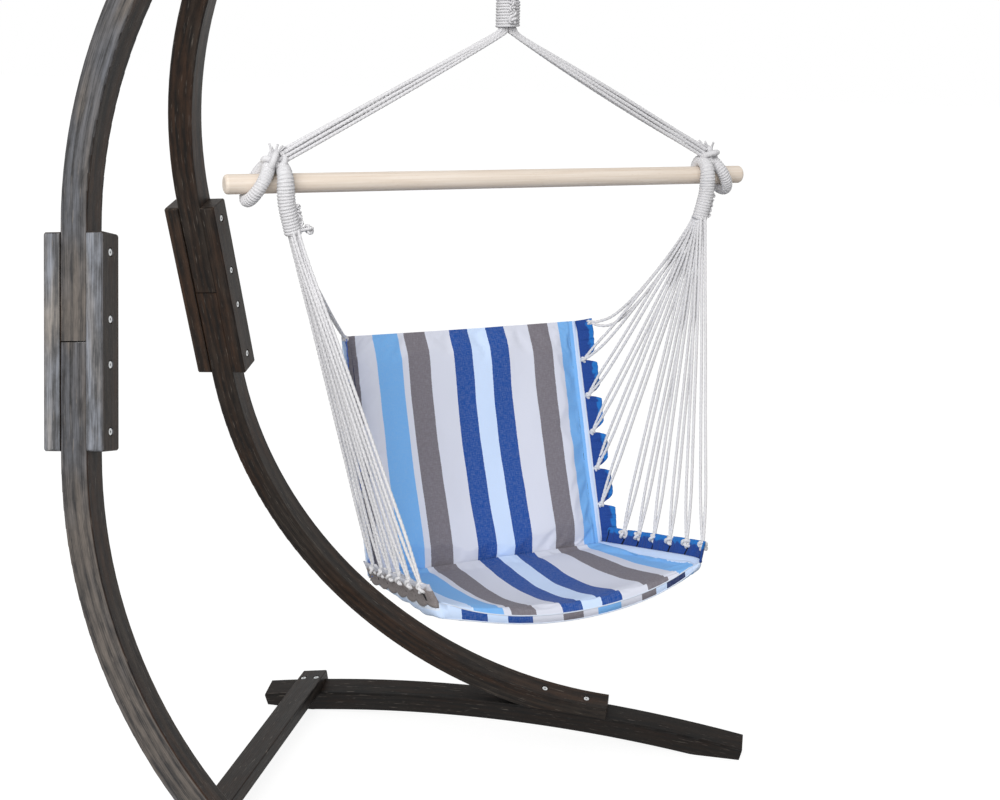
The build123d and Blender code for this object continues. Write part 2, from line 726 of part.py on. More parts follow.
# Cushion layout: the back leans from the seam, the seat rises to the front
back_up = Vector(0, sin(radians(BACK_LEAN)), cos(radians(BACK_LEAN)))
back_front = Vector(0, -cos(radians(BACK_LEAN)), sin(radians(BACK_LEAN)))
seat_out = Vector(0, -cos(radians(SEAT_RISE)), sin(radians(SEAT_RISE)))
seam = Vector(0, -SEAM_SET, SEAM_HEIGHT)
seat_start = seam + seat_out * (back_front.dot(seat_out) * PAD_EDGE / 2 + SOFT_GAP)


def pad_section(plane, width, hollow, depth):
    """Section of a cushion: local y points to the sitter, the middle hangs back."""
    with BuildSketch(plane) as section:
        with BuildLine():
            edge = PAD_EDGE / 2
            crown = depth / 2 + SECTION_BOW
            face = ThreePointArc((-width / 2, edge), (0, crown - hollow), (width / 2, edge))
            rear = ThreePointArc((-width / 2, -edge), (0, -crown - hollow), (width / 2, -edge))
            Line(face @ 0, rear @ 0)
            Line(face @ 1, rear @ 1)
        make_face()
    return section.sketch


def pad(origin, run, towards, length, widths, hollows, crown):
    """Crowned cushion lofted along its length through three sections."""
    crowns = (PAD_EDGE, crown, PAD_EDGE)
    with BuildPart() as cushion:
        for share, width, hollow, depth in zip((0.0, 0.5, 1.0), widths, hollows, crowns):
            plane = Plane(
                origin=origin + run * (length * share),
                x_dir=(1, 0, 0),
                z_dir=Vector(1, 0, 0).cross(towards),
            )
            add(pad_section(plane, width, hollow, depth))
        loft()
    return cushion.part


back_cushion = pad(
    seam,
    back_up,
    back_front,
    BACK_LENGTH,
    (PAD_WIDTH, PAD_WIDTH, PAD_WIDTH),
    (0.0, BACK_HOLLOW, BACK_HOLLOW / 2),
    BACK_CROWN,
)
hang(back_cushion, "back_cushion")
seat_up = Vector(0, sin(radians(SEAT_RISE)), cos(radians(SEAT_RISE)))
seat_mid_width = (PAD_WIDTH + PAD_FRONT_WIDTH) / 2
seat_cushion = pad(
    seat_start,
    seat_out,
    seat_up,
    SEAT_LENGTH,
    (PAD_WIDTH, seat_mid_width, PAD_FRONT_WIDTH),
    (0.0, SEAT_HOLLOW, SEAT_HOLLOW),
    SEAT_CROWN,
)
hang(seat_cushion, "seat_cushion")

tab_shares = [(step + 0.9) / TABS for step in range(TABS)]


def hem(root, run, stand, length, tie_height):
    """Notched hem strip standing on a root edge, and the points tied in its notches."""
    places = [length * share for share in tab_shares]
    with BuildPart() as strip:
        with BuildSketch(Plane(origin=root, x_dir=run, z_dir=run.cross(stand))):
            Rectangle(length, HEM_WIDTH, align=(Align.MIN, Align.MIN))
            with Locations(*[(place, HEM_WIDTH) for place in places]):
                SlotOverall(2 * NOTCH_DEPTH, NOTCH_WIDTH, rotation=90, mode=Mode.SUBTRACT)
        extrude(amount=HEM_THICK / 2, both=True)
    return strip.part, [root + run * place + stand * tie_height for place in places]


# Rigging of each side, from the apex over the bar to the hems
for name, side in SIDES.items():
    knot_x = side * RIG_HALF
    knot_mid = Vector(knot_x, knot_y, knot_foot + KNOT_HEIGHT / 2)
    apex = Vector(side * leg_x, 0, APEX_HEIGHT)
    fall = (knot_mid - apex).normalized()
    with BuildPart() as bar_knot:
        with BuildSketch(Plane(origin=(knot_x, knot_y, knot_foot), z_dir=(0, 0, 1))):
            Circle(KNOT_DIAMETER / 2)
        extrude(amount=KNOT_HEIGHT)
        fillet(bar_knot.edges().filter_by(GeomType.CIRCLE), KNOT_HEIGHT / 3)
        split(bisect_by=Plane(origin=knot_mid - fall * KNOT_FLAT, z_dir=fall), keep=Keep.TOP)
    hang(bar_knot.part, f"bar_knot_{name}")

    ring_x = side * (RIG_HALF + BAR_RING_OUTBOARD)
    with BuildPart() as bar_ring:
        with Locations(
            Plane(
                origin=(ring_x, 0, BAR_HEIGHT + ring_lift),
                z_dir=(cos(ring_slant), 0, side * sin(ring_slant)),
            )
        ):
            Torus(ring_radius, BAR_RING_WIRE / 2)
    hang(bar_ring.part, f"bar_ring_{name}")

    leg_top = knot_foot - SOFT_GAP
    with BuildPart() as leg_core:
        with Locations((knot_x, leg_y, leg_foot)):
            Cylinder(
                LEG_CORE / 2, leg_top - leg_foot, align=(Align.CENTER, Align.CENTER, Align.MIN)
            )
    hang(leg_core.part, f"leg_rope_{name}")
    whipping = winding(LEG_CORE / 2, leg_top - leg_foot)
    hang(whipping.moved(Location((knot_x, leg_y, leg_foot))), f"leg_whipping_{name}")

    # Strands in layers from under the rope loop to the knot on the bar
    knot_entry = knot_mid - fall * (KNOT_FLAT + SOFT_GAP)
    layer_down = Vector(0, 1, 0).cross(fall) * (side * STRAND_SPREAD)
    strand_ends = []
    for layer in range(STRAND_LAYERS):
        for sideways in (-STRAND_PITCH / 2, STRAND_PITCH / 2):
            out = STRAND / 2 - layer * STRAND_PITCH / fall.Z
            start = Vector(side * out, sideways, APEX_HEIGHT - STRAND / 2)
            below = (STRAND_LAYERS - 1) / 2 - layer
            strand_ends.append((start, knot_entry + layer_down * below + Vector(0, sideways, 0)))
    hang(tie(strand_ends, STRAND, CORD_SIDES), f"strands_{name}")

    # Hems: flat along the back, standing up along the seat
    half = PAD_WIDTH / 2
    back_root = seam + Vector(side * (half + SOFT_GAP), 0, 0) + back_up * PAD_EDGE
    back_strip, back_ties = hem(
        back_root,
        back_up,
        Vector(side, 0, 0),
        BACK_LENGTH - PAD_EDGE,
        HEM_WIDTH - NOTCH_DEPTH / 2,
    )
    hang(back_strip, f"back_hem_{name}")

    stand = radians(HEM_STAND)
    seat_stand = Vector(side * cos(stand), 0, 0) + seat_up * sin(stand)
    seat_flare = Vector(side * (PAD_FRONT_WIDTH - PAD_WIDTH) / 2 / SEAT_LENGTH, 0, 0)
    seat_run = (seat_out + seat_flare).normalized()
    seat_root = (
        seat_start
        + Vector(side * half, 0, 0)
        + seat_up * (PAD_EDGE / 2 + SOFT_GAP / sin(stand))
        + seat_run * PAD_EDGE
    )
    seat_strip, seat_ties = hem(
        seat_root,
        seat_run,
        seat_stand,
        SEAT_LENGTH - PAD_EDGE,
        HEM_WIDTH - NOTCH_DEPTH + 3 * SOFT_GAP,
    )
    hang(seat_strip, f"seat_hem_{name}")

    # Side cords fan out from the whipped leg to every notch
    cord_ends = []
    targets = list(reversed(back_ties)) + seat_ties
    rows = len(targets) // 2
    for step, target in enumerate(targets):
        row = step % 2
        place = (rows - 1) / 2 - step // 2
        top = Vector(
            knot_x + (row - 0.5) * CORD_ROW_PITCH, leg_y + place * CORD_PITCH, leg_foot
        )
        slope = (target - top).normalized()
        tilt = sqrt(slope.X**2 + slope.Y**2)
        top -= Vector(0, 0, SOFT_GAP + tilt * CORD / 2)
        if step < len(back_ties):
            # a back cord bears on the upper wall of its notch
            out = -slope.dot(back_front)
            rise = -slope.dot(back_up)
            reach = (rise * HEM_THICK + sqrt(out**2 + rise**2) * CORD) / (2 * out)
            target += back_up * (NOTCH_WIDTH / 2 - reach - 2 * SOFT_GAP)
        cord_ends.append((top, target))
    hang(tie(cord_ends, CORD, CORD_SIDES), f"side_cords_{name}")
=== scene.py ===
"""Hanging hammock chair on a stained timber double-arc stand: cloth, rope, finishes, light and camera."""
import json
from math import cos, exp, pi, radians, sin, sqrt

import bpy
from mathutils import Matrix, Vector, noise


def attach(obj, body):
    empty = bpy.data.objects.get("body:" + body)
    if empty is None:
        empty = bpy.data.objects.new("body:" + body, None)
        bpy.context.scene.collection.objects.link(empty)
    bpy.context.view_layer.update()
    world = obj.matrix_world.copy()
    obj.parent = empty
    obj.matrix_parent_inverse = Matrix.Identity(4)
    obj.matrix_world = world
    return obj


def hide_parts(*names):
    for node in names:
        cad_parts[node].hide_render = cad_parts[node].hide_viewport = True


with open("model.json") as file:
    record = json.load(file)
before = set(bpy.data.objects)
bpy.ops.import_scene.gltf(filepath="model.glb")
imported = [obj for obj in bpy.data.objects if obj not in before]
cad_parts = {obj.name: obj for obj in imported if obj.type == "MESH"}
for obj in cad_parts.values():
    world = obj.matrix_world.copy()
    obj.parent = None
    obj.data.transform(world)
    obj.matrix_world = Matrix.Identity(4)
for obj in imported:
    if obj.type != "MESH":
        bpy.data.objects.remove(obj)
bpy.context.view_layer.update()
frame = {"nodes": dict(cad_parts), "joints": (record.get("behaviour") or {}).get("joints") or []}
scene = bpy.context.scene
scene.view_settings.view_transform = "Standard"

MM = 0.001
joints = {joint["name"]: joint["pos_m"] for joint in frame["joints"]}
HANG_Y = joints["turn_on_rope"][1]
APEX_Z = joints["turn_on_rope"][2]
SWAY_Z = joints["sway"][2]
CHAIR_YAW = radians(-54)
CHAIR = Matrix.Translation((0, HANG_Y, 0)) @ Matrix.Rotation(CHAIR_YAW, 4, "Z")
SIDES = {"left": -1, "right": 1}

# Stand: the leaning side frames, in metres and radians
ARC_RADIUS = 0.870
MID_HEADING = radians(86)
FRAME_LEAN = radians(13.575)
FOOT_HALF_SPREAD = 0.531
FRONT_Y = -0.2957
LOWER_CENTRE = (-0.04553, 0.96262)
UPPER_CENTRE = (-0.01902, 1.34170)
BUTT = (0.83560, 1.08134)
RUNNER_CENTRE = (0.255, -2.78695)
RUNNER_BEND = 2.853

# Chair, in its own frame: x along the bar, y to the rear, z up from the floor
BAR_Z = 1.327
RIG_HALF = 0.398
LEG_Y = -31.5 * MM
LEG_FOOT = BAR_Z - 78 * MM
BACK_LEAN = radians(19.5)
SEAT_RISE = radians(14)
SEAM = Vector((0, 17.5 * MM, 0.615))
BACK_UP = Vector((0, sin(BACK_LEAN), cos(BACK_LEAN)))
BACK_FRONT = Vector((0, -cos(BACK_LEAN), sin(BACK_LEAN)))
SEAT_OUT = Vector((0, -cos(SEAT_RISE), sin(SEAT_RISE)))
SEAT_UP = Vector((0, sin(SEAT_RISE), cos(SEAT_RISE)))
SEAT_START = SEAM + SEAT_OUT * 7.3 * MM
BACK_LENGTH = 0.440
SEAT_LENGTH = 0.337
PAD_WIDTH = 0.478
PAD_FRONT_WIDTH = 0.512
PAD_EDGE = 14 * MM
HEM_WIDTH = 36 * MM
HEM_STAND = radians(70)
TABS = 6
HEM_START = 4 * MM
FIRST_TIE = 56.7 * MM       # along a seat hem
TIE_STEP = 51.8 * MM
# half width of the painted shade at each tie on a hem
SLIT_SHADE_HALF_WIDTH = 2.6 * MM


def linear(code):
    """An sRGB hex colour as linear light."""
    parts = [int(code[place:place + 2], 16) / 255 for place in (1, 3, 5)]
    return tuple(c / 12.92 if c <= 0.04045 else ((c + 0.055) / 1.055) ** 2.4 for c in parts) + (1.0,)


def add_node(tree, kind, inputs=None, out=0, **settings):
    """Adds a node, sets it up and links what it takes in; gives one of its outputs."""
    node = tree.nodes.new("ShaderNode" + kind)
    for key, value in settings.items():
        setattr(node, key, value)
    for key, value in (inputs or {}).items():
        if isinstance(value, bpy.types.NodeSocket):
            tree.links.new(value, node.inputs[key])
        else:
            node.inputs[key].default_value = value
    return node.outputs[out]


def new_finish(name, **values):
    """An empty finish with its shader's plain values set; gives the finish, its tree and shader."""
    finish = bpy.data.materials.new(name)
    finish.use_nodes = True
    tree = finish.node_tree
    shader = tree.nodes["Principled BSDF"]
    for key, value in values.items():
        shader.inputs[key.replace("_", " ")].default_value = value
    return finish, tree, shader


def dress(tree, shader, **sockets):
    """Links sockets to the inputs of a shader."""
    for key, socket in sockets.items():
        tree.links.new(socket, shader.inputs[key.replace("_", " ")])


def sum_of(tree, *parts):
    """Weighted sum of sockets, each given as (socket, weight)."""
    total = None
    for socket, weight in parts:
        scaled = add_node(tree, "Math", {0: socket, 1: weight}, operation="MULTIPLY")
        if total is None:
            total = scaled
        else:
            total = add_node(tree, "Math", {0: total, 1: scaled})
    return total


# Spruce, sawn and bent, under a dark translucent stain: the grain shows as brown and grey streaks,
# and the sides that face out are painted paler and cooler, a painted sheen standing for sky reflection
STAIN_DARK = linear("#16110E")
STAIN_BROWN = linear("#4A3629")
STAIN_GREY = linear("#463D36")
STAIN_WORN = linear("#8E857C")
SHEEN_PAINT_DARK = linear("#3B3B3C")
SHEEN_PAINT_COOL = linear("#787B82")
SHEEN_PAINT_WARM = linear("#807A74")
TIMBER_SPECULAR = 0.18
# Widths and lengths along the grain; real fibres and score marks are finer, drawn coarse enough to show
FIBRE = 1.3 * MM, 60 * MM
SCRATCH = 2.6 * MM, 34 * MM
STREAK = 11 * MM, 240 * MM
BLOTCH = 15 * MM, 36 * MM
PATCH = 60 * MM, 260 * MM
RING_STEP = 5 * MM
PITH = (61 * MM, 43 * MM, 0)    # of the tree, beside the timber


def toned(colour, share):
    """A linear colour made lighter or darker."""
    return tuple(part * share for part in colour[:3]) + (1.0,)


def stained_timber(name, centre, bend=None, straight=None, tone=1.0, painted_sheen=0.0, sheen_paleness=1.0):
    """Stained timber whose grain follows a bend about a centre, a straight board or both.

    The centre is in a side frame. straight is 1 where the timber runs on straight after its
    bend, -1 where it starts straight and None where it has no straight part. tone scales
    how light the stain is; the next two set how strongly and how pale a painted sheen,
    standing for sky reflection, is put on the sides that face out.
    """
    finish, tree, shader = new_finish(name, Specular_IOR_Level=TIMBER_SPECULAR)
    lean = sin(FRAME_LEAN), cos(FRAME_LEAN)
    place = (FOOT_HALF_SPREAD - centre[1] * lean[0], FRONT_Y + centre[0], centre[1] * lean[1])
    coords = add_node(tree, "TexCoord").node.outputs
    world = add_node(tree, "SeparateXYZ", {0: coords["Object"]}).node.outputs
    facing = add_node(tree, "SeparateXYZ", {0: coords["Normal"]})
    half = add_node(tree, "Math", {0: world[0]}, operation="SIGN")
    out = add_node(tree, "Math", {0: facing, 1: half}, operation="MULTIPLY")
    # Painted sheen of sky reflection: how far a face points out from the stand's middle
    painted_sheen_share = add_node(tree, "MapRange", {0: out, 1: 0.5, 2: 0.9, 4: painted_sheen})
    outward = add_node(tree, "Math", {0: world[0]}, operation="ABSOLUTE")
    folded = add_node(tree, "CombineXYZ", {0: outward, 1: world[1], 2: world[2]})
    local = add_node(
        tree,
        "Mapping",
        {"Vector": folded, "Location": place, "Rotation": (0, -FRAME_LEAN, 0)},
        vector_type="TEXTURE",
    )
    across, back, rise = add_node(tree, "SeparateXYZ", {0: local}).node.outputs
    run = sum_of(tree, (back, cos(MID_HEADING)), (rise, sin(MID_HEADING)))
    depth = sum_of(tree, (back, sin(MID_HEADING)), (rise, -cos(MID_HEADING)))
    if bend:
        flat = add_node(tree, "CombineXYZ", {1: back, 2: rise})
        reach = add_node(tree, "VectorMath", {0: flat}, out="Value", operation="LENGTH")
        below = sum_of(tree, (rise, -1.0 if straight else 1.0))
        turn = add_node(tree, "Math", {0: back, 1: below}, operation="ARCTAN2")
        walked = add_node(
            tree, "Math", {0: turn, 1: bend, 2: -MID_HEADING * bend}, operation="MULTIPLY_ADD"
        )
        if straight:
            past = add_node(
                tree, "Math", {0: sum_of(tree, (run, straight)), 1: 0.0}, operation="GREATER_THAN"
            )
            run = add_node(tree, "Mix", {0: past, 2: walked, 3: run})
            depth = add_node(tree, "Mix", {0: past, 2: reach, 3: depth})
        else:
            run, depth = walked, reach
    return grain_of(finish, tree, shader, (across, depth, run), tone, painted_sheen_share, sheen_paleness)


def crossbeam_timber(name, tone):
    """The same stained timber for the beam, whose grain runs straight across the stand."""
    finish, tree, shader = new_finish(name, Specular_IOR_Level=TIMBER_SPECULAR)
    spot = add_node(tree, "TexCoord", out="Object")
    world = add_node(tree, "SeparateXYZ", {0: spot}).node.outputs
    return grain_of(finish, tree, shader, (world[1], world[2], world[0]), tone)


def grain_of(finish, tree, shader, axes, tone, painted_sheen_share=0.0, sheen_paleness=1.0):
    """Colours and relief of stained grain; the axes run across, in depth and along the timber."""
    across, depth, run = axes
    dark, brown, grey = (toned(colour, tone) for colour in (STAIN_DARK, STAIN_BROWN, STAIN_GREY))
    sheen_dark, sheen_warm, sheen_cool = (
        toned(colour, sheen_paleness) for colour in (SHEEN_PAINT_DARK, SHEEN_PAINT_WARM, SHEEN_PAINT_COOL)
    )

    def stretched(size, detail, seed):
        """Noise of a given width, drawn out to a length along the grain."""
        width, length = size
        place = add_node(
            tree,
            "CombineXYZ",
            {
                0: sum_of(tree, (across, 1 / width)),
                1: sum_of(tree, (depth, 1 / width)),
                2: sum_of(tree, (run, 1 / length)),
            },
        )
        moved = add_node(tree, "VectorMath", {0: place, 1: (seed, 2 * seed, 3 * seed)})
        return add_node(
            tree, "TexNoise", {"Vector": moved, "Scale": 1.0, "Detail": detail, "Roughness": 0.6}
        )

    fibre = stretched(FIBRE, 5, 1.7)
    streak = stretched(STREAK, 4, 5.3)
    blotch = stretched(BLOTCH, 6, 3.3)
    scratch = stretched(SCRATCH, 2, 12.7)
    patch = stretched(PATCH, 2, 9.1)
    pith = add_node(tree, "CombineXYZ", {0: sum_of(tree, (across, 1.0)), 1: sum_of(tree, (depth, 0.35))})
    off = add_node(tree, "VectorMath", {0: pith, 1: PITH})
    radius = add_node(tree, "VectorMath", {0: off}, out="Value", operation="LENGTH")
    phase = sum_of(tree, (radius, 2 * pi / RING_STEP), (streak, 9.0))
    ring = add_node(tree, "Math", {0: phase}, operation="SINE")

    mood = add_node(tree, "MapRange", {0: patch, 1: 0.4, 2: 0.62}, interpolation_type="SMOOTHSTEP")
    warm = add_node(tree, "Mix", {0: mood, 6: brown, 7: grey}, out=2, data_type="RGBA")
    sheen_tint = add_node(tree, "Mix", {0: mood, 6: sheen_warm, 7: sheen_cool}, out=2, data_type="RGBA")
    bare = sum_of(tree, (fibre, 0.8), (streak, 0.5), (blotch, 0.6), (ring, 0.1))
    shade = add_node(tree, "MapRange", {0: bare, 1: 0.76, 2: 1.17})
    stain = add_node(tree, "Mix", {0: shade, 6: dark, 7: warm}, out=2, data_type="RGBA")
    sheen_streaked = add_node(tree, "Mix", {0: shade, 6: sheen_dark, 7: sheen_tint}, out=2, data_type="RGBA")
    # Painted sheen: faces that point out take paler, cooler colours, standing for sky reflection
    stain_with_sheen = add_node(tree, "Mix", {0: painted_sheen_share, 6: stain, 7: sheen_streaked}, out=2, data_type="RGBA")
    scuff = add_node(
        tree, "MapRange", {0: sum_of(tree, (fibre, 0.6), (patch, 0.6)), 1: 0.75, 2: 0.88, 4: 0.5}
    )
    scored = add_node(tree, "MapRange", {0: scratch, 1: 0.64, 2: 0.74, 4: 0.4})
    rubbed = add_node(tree, "Math", {0: scuff, 1: scored}, operation="MAXIMUM")
    colour = add_node(tree, "Mix", {0: rubbed, 6: stain_with_sheen, 7: STAIN_WORN}, out=2, data_type="RGBA")
    gloss = add_node(tree, "MapRange", {0: fibre, 1: 0.3, 2: 0.7, 3: 0.38, 4: 0.6})
    relief = add_node(
        tree,
        "Bump",
        {"Strength": 0.35, "Distance": 0.6 * MM, "Height": sum_of(tree, (fibre, 1.0), (ring, 0.15))},
    )
    dress(tree, shader, Base_Color=colour, Roughness=gloss, Normal=relief)
    return finish


# The paler outward sides set below are a painted sheen of sky reflection
lower_timber = stained_timber("stained_spruce_lower_arc", LOWER_CENTRE, ARC_RADIUS, 1, tone=0.7, painted_sheen=0.62)
upper_timber = stained_timber("stained_spruce_upper_arc", UPPER_CENTRE, ARC_RADIUS, -1, tone=0.7, painted_sheen=0.68)
# The runner, down on the floor, is toned far darker than the arcs: painted shade
runner_timber = stained_timber("stained_spruce_runner", RUNNER_CENTRE, RUNNER_BEND, tone=0.22)
cheek_timber = stained_timber("stained_spruce_splice", BUTT, tone=0.85, painted_sheen=1.0, sheen_paleness=1.5)
beam_timber = crossbeam_timber("stained_spruce_beam", tone=0.35)


def chair_place(tree):
    """A point in the chair's own frame, as one socket and as its x, y and z sockets."""
    spot = add_node(tree, "TexCoord", out="Object")
    turned = add_node(
        tree,
        "Mapping",
        {"Vector": spot, "Location": (0, HANG_Y, 0), "Rotation": (0, 0, CHAIR_YAW)},
        vector_type="TEXTURE",
    )
    return turned, add_node(tree, "SeparateXYZ", {0: turned}).node.outputs


BEECH_GRAIN = 160 * MM, 4 * MM
BEECH_FLECK = 12 * MM, 1.2 * MM


def bare_dowel():
    """Turned beech dowel, sanded and left bare: pale, with short darker flecks along the grain."""
    finish, tree, shader = new_finish("bare_beech", Roughness=0.55)
    place, _ = chair_place(tree)
    grains = []
    for (length, width), detail in ((BEECH_GRAIN, 3), (BEECH_FLECK, 2)):
        scale = (1 / length, 1 / width, 1 / width)
        spot = add_node(tree, "VectorMath", {0: place, 1: scale}, operation="MULTIPLY")
        noisy = {"Vector": spot, "Scale": 1.0, "Detail": detail}
        grains.append(add_node(tree, "TexNoise", noisy))
    wide, fine = grains
    share = add_node(tree, "MapRange", {0: wide, 1: 0.35, 2: 0.68})
    ground = add_node(
        tree, "Mix", {0: share, 6: linear("#E6DACD"), 7: linear("#D9C9B8")}, out=2, data_type="RGBA"
    )
    dots = add_node(tree, "MapRange", {0: fine, 1: 0.62, 2: 0.75, 4: 0.3})
    colour = add_node(tree, "Mix", {0: dots, 6: ground, 7: linear("#BFA68C")}, out=2, data_type="RGBA")
    relief = add_node(tree, "Bump", {"Strength": 0.15, "Distance": 0.2 * MM, "Height": fine})
    dress(tree, shader, Base_Color=colour, Normal=relief)
    return finish


CLOUD, GRIT = 6 * MM, 0.8 * MM


def zinc_steel():
    """Zinc-plated steel: cool, slightly cloudy metal with a fine tumbled surface."""
    finish, tree, shader = new_finish("zinc_plated_steel", Metallic=1.0)
    spot = add_node(tree, "TexCoord", out="Object")
    cloud = add_node(tree, "TexNoise", {"Vector": spot, "Scale": 1 / CLOUD, "Detail": 3})
    grit = add_node(tree, "TexNoise", {"Vector": spot, "Scale": 1 / GRIT, "Detail": 2})
    colour = add_node(
        tree, "Mix", {0: cloud, 6: linear("#B9BCBF"), 7: linear("#DADBDA")}, out=2, data_type="RGBA"
    )
    gloss = add_node(tree, "MapRange", {0: cloud, 1: 0.3, 2: 0.7, 3: 0.24, 4: 0.42})
    relief = add_node(tree, "Bump", {"Strength": 0.2, "Distance": 0.05 * MM, "Height": grit})
    dress(tree, shader, Base_Color=colour, Roughness=gloss, Normal=relief)
    return finish


# Undyed cotton, spun and laid up: off-white, with a soft halo and painted shade in the grooves between
# plies
COTTON = linear("#DFDEE0")
COTTON_SHADE = linear("#A9A8AB")
FUZZ, SOILING = 0.9 * MM, 30 * MM


def cotton_cord(name, pitch, plies, groove_shade_weight):
    """Cotton whose plies wind round a tube; the tube's UVs are metres along and turns round."""
    finish, tree, shader = new_finish(name, Roughness=0.9, Sheen_Weight=0.25, Sheen_Roughness=0.5)
    uv = add_node(tree, "TexCoord", out="UV")
    both = add_node(tree, "SeparateXYZ", {0: uv}).node.outputs
    phase = sum_of(tree, (both[0], 2 * pi * plies / pitch), (both[1], 2 * pi * plies))
    lay = add_node(tree, "Math", {0: phase}, operation="SINE")
    spot = add_node(tree, "TexCoord", out="Object")
    fuzz = add_node(tree, "TexNoise", {"Vector": spot, "Scale": 1 / FUZZ, "Detail": 3})
    dirt = add_node(tree, "TexNoise", {"Vector": spot, "Scale": 1 / SOILING, "Detail": 3})
    # Painted shade in the grooves between plies, with real soiling added, draws the cotton toward its shade
    # colour
    painted_groove_shade = add_node(tree, "MapRange", {0: lay, 1: -1.0, 2: -0.1, 3: 0.5, 4: 0.0})
    share = sum_of(tree, (painted_groove_shade, groove_shade_weight), (dirt, 0.22))
    colour = add_node(tree, "Mix", {0: share, 6: COTTON, 7: COTTON_SHADE}, out=2, data_type="RGBA")
    relief = add_node(
        tree,
        "Bump",
        {"Strength": 0.7, "Distance": 0.5 * MM, "Height": sum_of(tree, (lay, 0.5), (fuzz, 0.6))},
    )
    dress(tree, shader, Base_Color=colour, Normal=relief)
    return finish


# Woven cotton canvas in warp stripes: matt, with pale weft flecks in the dark stripes
ROYAL, SKY, PALE = "#1B4A97", "#75B0EA", "#CBDEFA"
TAUPE, CREAM, NAVY = "#757077", "#D5D8E5", "#22315F"
THREAD = 1.4 * MM           # real threads are half of this; drawn coarse enough to show
SLUB = 9 * MM, 1.6 * MM     # length and width of a thicker stretch of thread
PULL, STRIPE_FRAY = 90 * MM, 2 * MM
CANVAS = {"Roughness": 0.88, "Sheen_Weight": 0.05, "Specular_IOR_Level": 0.2}
PAD_STRIPES = (
    (-0.400, PALE), (-0.243, TAUPE), (-0.216, CREAM), (-0.183, SKY), (-0.134, CREAM), (-0.120, TAUPE),
    (-0.078, CREAM), (-0.027, ROYAL), (0.012, PALE), (0.047, ROYAL), (0.085, CREAM), (0.137, TAUPE),
    (0.177, CREAM), (0.198, SKY), (0.231, PALE),
)
SEAT_STRIPES = ((-0.400, PALE),) + PAD_STRIPES[3:]
GUSSET_STRIPES = (
    (-0.400, PALE), (-0.205, ROYAL), (-0.160, PALE), (-0.128, ROYAL), (-0.082, CREAM), (-0.026, TAUPE),
    (0.011, CREAM), (0.038, SKY), (0.084, CREAM), (0.125, TAUPE), (0.153, PALE), (0.174, NAVY),
    (0.210, PALE),
)
STRIPE_SPAN = 0.400


def striped_canvas(name, stripes, run, sway):
    """Canvas whose stripes go by the place across the chair; run is the warp's direction."""
    finish, tree, shader = new_finish(name, **CANVAS)
    place, axes = chair_place(tree)
    pull = add_node(tree, "TexNoise", {"Vector": place, "Scale": 1 / PULL, "Detail": 1})
    fray = add_node(tree, "TexNoise", {"Vector": place, "Scale": 1 / STRIPE_FRAY, "Detail": 1})
    drift = sum_of(tree, (axes[0], 1.0), (pull, sway), (fray, 1.2 * MM))
    share = add_node(tree, "MapRange", {0: drift, 1: -STRIPE_SPAN + sway / 2, 2: STRIPE_SPAN + sway / 2})
    ramp = add_node(tree, "ValToRGB", {0: share})
    ramp.node.color_ramp.interpolation = "CONSTANT"
    stops = ramp.node.color_ramp.elements
    stops[0].position, stops[0].color = 0.0, linear(stripes[0][1])
    stops.remove(stops[1])
    for start, code in stripes[1:]:
        stop = stops.new((start + STRIPE_SPAN) / (2 * STRIPE_SPAN))
        stop.color = linear(code)
    warp_place = add_node(tree, "VectorMath", {0: place, 1: run}, out="Value", operation="DOT_PRODUCT")
    weft = add_node(tree, "Math", {0: sum_of(tree, (warp_place, pi / THREAD))}, operation="SINE")
    warp = add_node(tree, "Math", {0: sum_of(tree, (axes[0], pi / THREAD))}, operation="SINE")
    slubs = []
    for across, onward in (SLUB, SLUB[::-1]):
        spot = add_node(
            tree,
            "CombineXYZ",
            {0: sum_of(tree, (axes[0], 1 / across)), 1: sum_of(tree, (warp_place, 1 / onward))},
        )
        noisy = {"Vector": spot, "Scale": 1.0, "Detail": 2}
        slubs.append(add_node(tree, "TexNoise", noisy))
    slub, grain = slubs
    fleck = add_node(
        tree, "MapRange", {0: sum_of(tree, (slub, 0.5), (grain, 0.5)), 1: 0.42, 2: 0.64, 4: 0.1}
    )
    heather = add_node(tree, "Mix", {0: fleck, 6: ramp, 7: linear("#CFD3DD")}, out=2, data_type="RGBA")
    crossing = add_node(tree, "Math", {0: weft, 1: warp}, operation="MULTIPLY")
    relief = add_node(
        tree,
        "Bump",
        {"Strength": 0.35, "Distance": 0.35 * MM, "Height": sum_of(tree, (crossing, 0.5), (slub, 0.8))},
    )
    dress(tree, shader, Base_Color=heather, Normal=relief)
    return finish


FOLD = 12 * MM
FOLD_DRIFT = 16 * MM
EDGE_FROM, EDGE_TO = 32.5 * MM, 35.5 * MM   # where the hem's edge colour sets in
SLIT_SHADE_MIDDLE, SLIT_SHADE_HALF_HEIGHT = 18 * MM, 13 * MM   # heights of the painted shade for the slits on a hem
